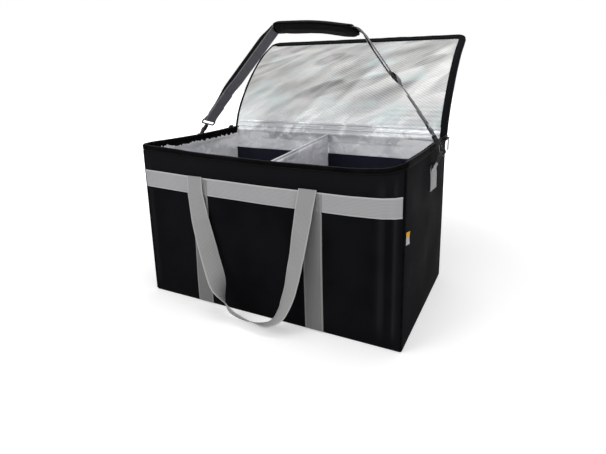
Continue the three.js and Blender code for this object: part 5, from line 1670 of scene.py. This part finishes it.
class BagSizes(bpy.types.PropertyGroup):
    webbing: FloatProperty(name="Webbing width", description="Width of the handles, tabs and strap",
                           default=0.038, min=0.02, max=0.05, unit="LENGTH")
    stitch: FloatProperty(name="Stitch length", description="Length of one stitch",
                          default=0.0026, min=0.001, max=0.006, unit="LENGTH")
    belly: FloatProperty(name="Wall belly", description="How far the middle of each wall stands out",
                         default=0.0024, min=0.0, max=0.01, unit="LENGTH")


def tint_of(label, words, value):
    return FloatVectorProperty(name=label, description=words, default=value, subtype="COLOR", min=0, max=1)


class BagColours(bpy.types.PropertyGroup):
    oxford: tint_of("Outer cloth", "Coated cloth of the body and lid", (0.0050, 0.0052, 0.0060))
    binding: tint_of("Binding", "Tape on the rim, piping and pad edge", (0.0036, 0.0036, 0.0040))
    # One foil in lit and shaded copies: the walls' tint is painted lighter against the shade inside the bag, the
    # lid's darker. Each shadow tint is painted shade
    foil: tint_of("Wall foil", "Insulating foil of the walls and floor", (0.96, 0.97, 0.98))
    foil_shadow: tint_of("Wall foil shadow", "Duller places of the wall foil", (0.7, 0.71, 0.75))
    lid_foil: tint_of("Lid foil", "Insulating foil of the lid", (0.62, 0.62, 0.61))
    lid_foil_shadow: tint_of("Lid foil shadow", "Duller folds of the lid foil", (0.19, 0.19, 0.185))
    band: tint_of("Bands", "Webbing bands under the rim", (0.44, 0.44, 0.45))
    upright: tint_of("Uprights", "Webbing sewn up the walls", (0.215, 0.22, 0.215))
    handle: tint_of("Handles", "Webbing of the carrying handles and tabs", (0.37, 0.37, 0.37))
    strap: tint_of("Shoulder strap", "Webbing of the shoulder strap", (0.17, 0.165, 0.19))
    pad: tint_of("Shoulder pad", "Mesh of the shoulder pad", (0.006, 0.006, 0.0065))


class BAG_OT_walls(bpy.types.Operator):
    """Makes the outer cloth, its padding and the foil lining of the walls and floor"""
    bl_idname = "bag.walls"
    bl_label = "Walls"

    def execute(self, context):
        make_walls()
        make_lining()
        make_floor()
        return {"FINISHED"}


class BAG_OT_rim(bpy.types.Operator):
    """Makes the rim's binding with its zip teeth and stitches, the piping and the blank label"""
    bl_idname = "bag.rim"
    bl_label = "Rim and seams"

    def execute(self, context):
        make_rim()
        make_piping()
        make_label()
        return {"FINISHED"}


class BAG_OT_bands(bpy.types.Operator):
    """Makes the webbing sewn on the front and back"""
    bl_idname = "bag.bands"
    bl_label = "Bands and uprights"

    def execute(self, context):
        make_bands()
        return {"FINISHED"}


class BAG_OT_lid(bpy.types.Operator):
    """Makes the padded lid, its foil face, zip teeth and stitches"""
    bl_idname = "bag.lid"
    bl_label = "Lid"

    def execute(self, context):
        make_lid()
        return {"FINISHED"}


class BAG_OT_hinge(bpy.types.Operator):
    """Makes the cloth and foil that join the lid to the back wall"""
    bl_idname = "bag.hinge"
    bl_label = "Hinge"

    def execute(self, context):
        make_hinge()
        return {"FINISHED"}


class BAG_OT_handles(bpy.types.Operator):
    """Makes the front and back carrying handles"""
    bl_idname = "bag.handles"
    bl_label = "Handles"

    def execute(self, context):
        make_handles()
        return {"FINISHED"}


class BAG_OT_divider(bpy.types.Operator):
    """Makes the foil divider"""
    bl_idname = "bag.divider"
    bl_label = "Divider"

    def execute(self, context):
        make_divider()
        return {"FINISHED"}


class BAG_OT_tabs(bpy.types.Operator):
    """Makes the side tabs that hold the rings"""
    bl_idname = "bag.tabs"
    bl_label = "Ring tabs"

    def execute(self, context):
        make_tabs()
        return {"FINISHED"}


class BAG_OT_strap(bpy.types.Operator):
    """Makes the shoulder strap, its pad and its buckle"""
    bl_idname = "bag.strap"
    bl_label = "Shoulder strap"

    def execute(self, context):
        make_strap()
        make_pad()
        make_buckle()
        return {"FINISHED"}


class BAG_OT_hardware(bpy.types.Operator):
    """Gives the rings, hooks, zip sliders and board their finishes"""
    bl_idname = "bag.hardware"
    bl_label = "Hardware finishes"

    def execute(self, context):
        dress_hardware()
        return {"FINISHED"}


class BAG_OT_stage(bpy.types.Operator):
    """Sets the floor, lamps, background and camera"""
    bl_idname = "bag.stage"
    bl_label = "Stage"

    def execute(self, context):
        set_camera()
        set_stage()
        return {"FINISHED"}


OPERATORS = (
    BAG_OT_walls, BAG_OT_rim, BAG_OT_bands, BAG_OT_lid, BAG_OT_hinge, BAG_OT_handles, BAG_OT_divider,
    BAG_OT_tabs, BAG_OT_strap, BAG_OT_hardware, BAG_OT_stage,
)


class BAG_PT_panel(bpy.types.Panel):
    """Sizes, colours and steps of the bag"""
    bl_idname = "BAG_PT_panel"
    bl_label = "Delivery bag"
    bl_space_type = "VIEW_3D"
    bl_region_type = "UI"
    bl_category = "Bag"

    def draw(self, context):
        for group in (context.scene.bag_sizes, context.scene.bag_colours):
            for key in group.__annotations__:
                self.layout.prop(group, key)
        for operator in OPERATORS:
            self.layout.operator(operator.bl_idname)


CLASSES = (BagSizes, BagColours, *OPERATORS, BAG_PT_panel)


def register():
    for cls in CLASSES:
        bpy.utils.register_class(cls)
    bpy.types.Scene.bag_sizes = PointerProperty(type=BagSizes)
    bpy.types.Scene.bag_colours = PointerProperty(type=BagColours)


def unregister():
    del bpy.types.Scene.bag_sizes
    del bpy.types.Scene.bag_colours
    for cls in reversed(CLASSES):
        bpy.utils.unregister_class(cls)


def main():
    register()
    for operator in OPERATORS:
        group, step = operator.bl_idname.split(".")
        getattr(getattr(bpy.ops, group), step)()


if __name__ == "__main__":
    main()
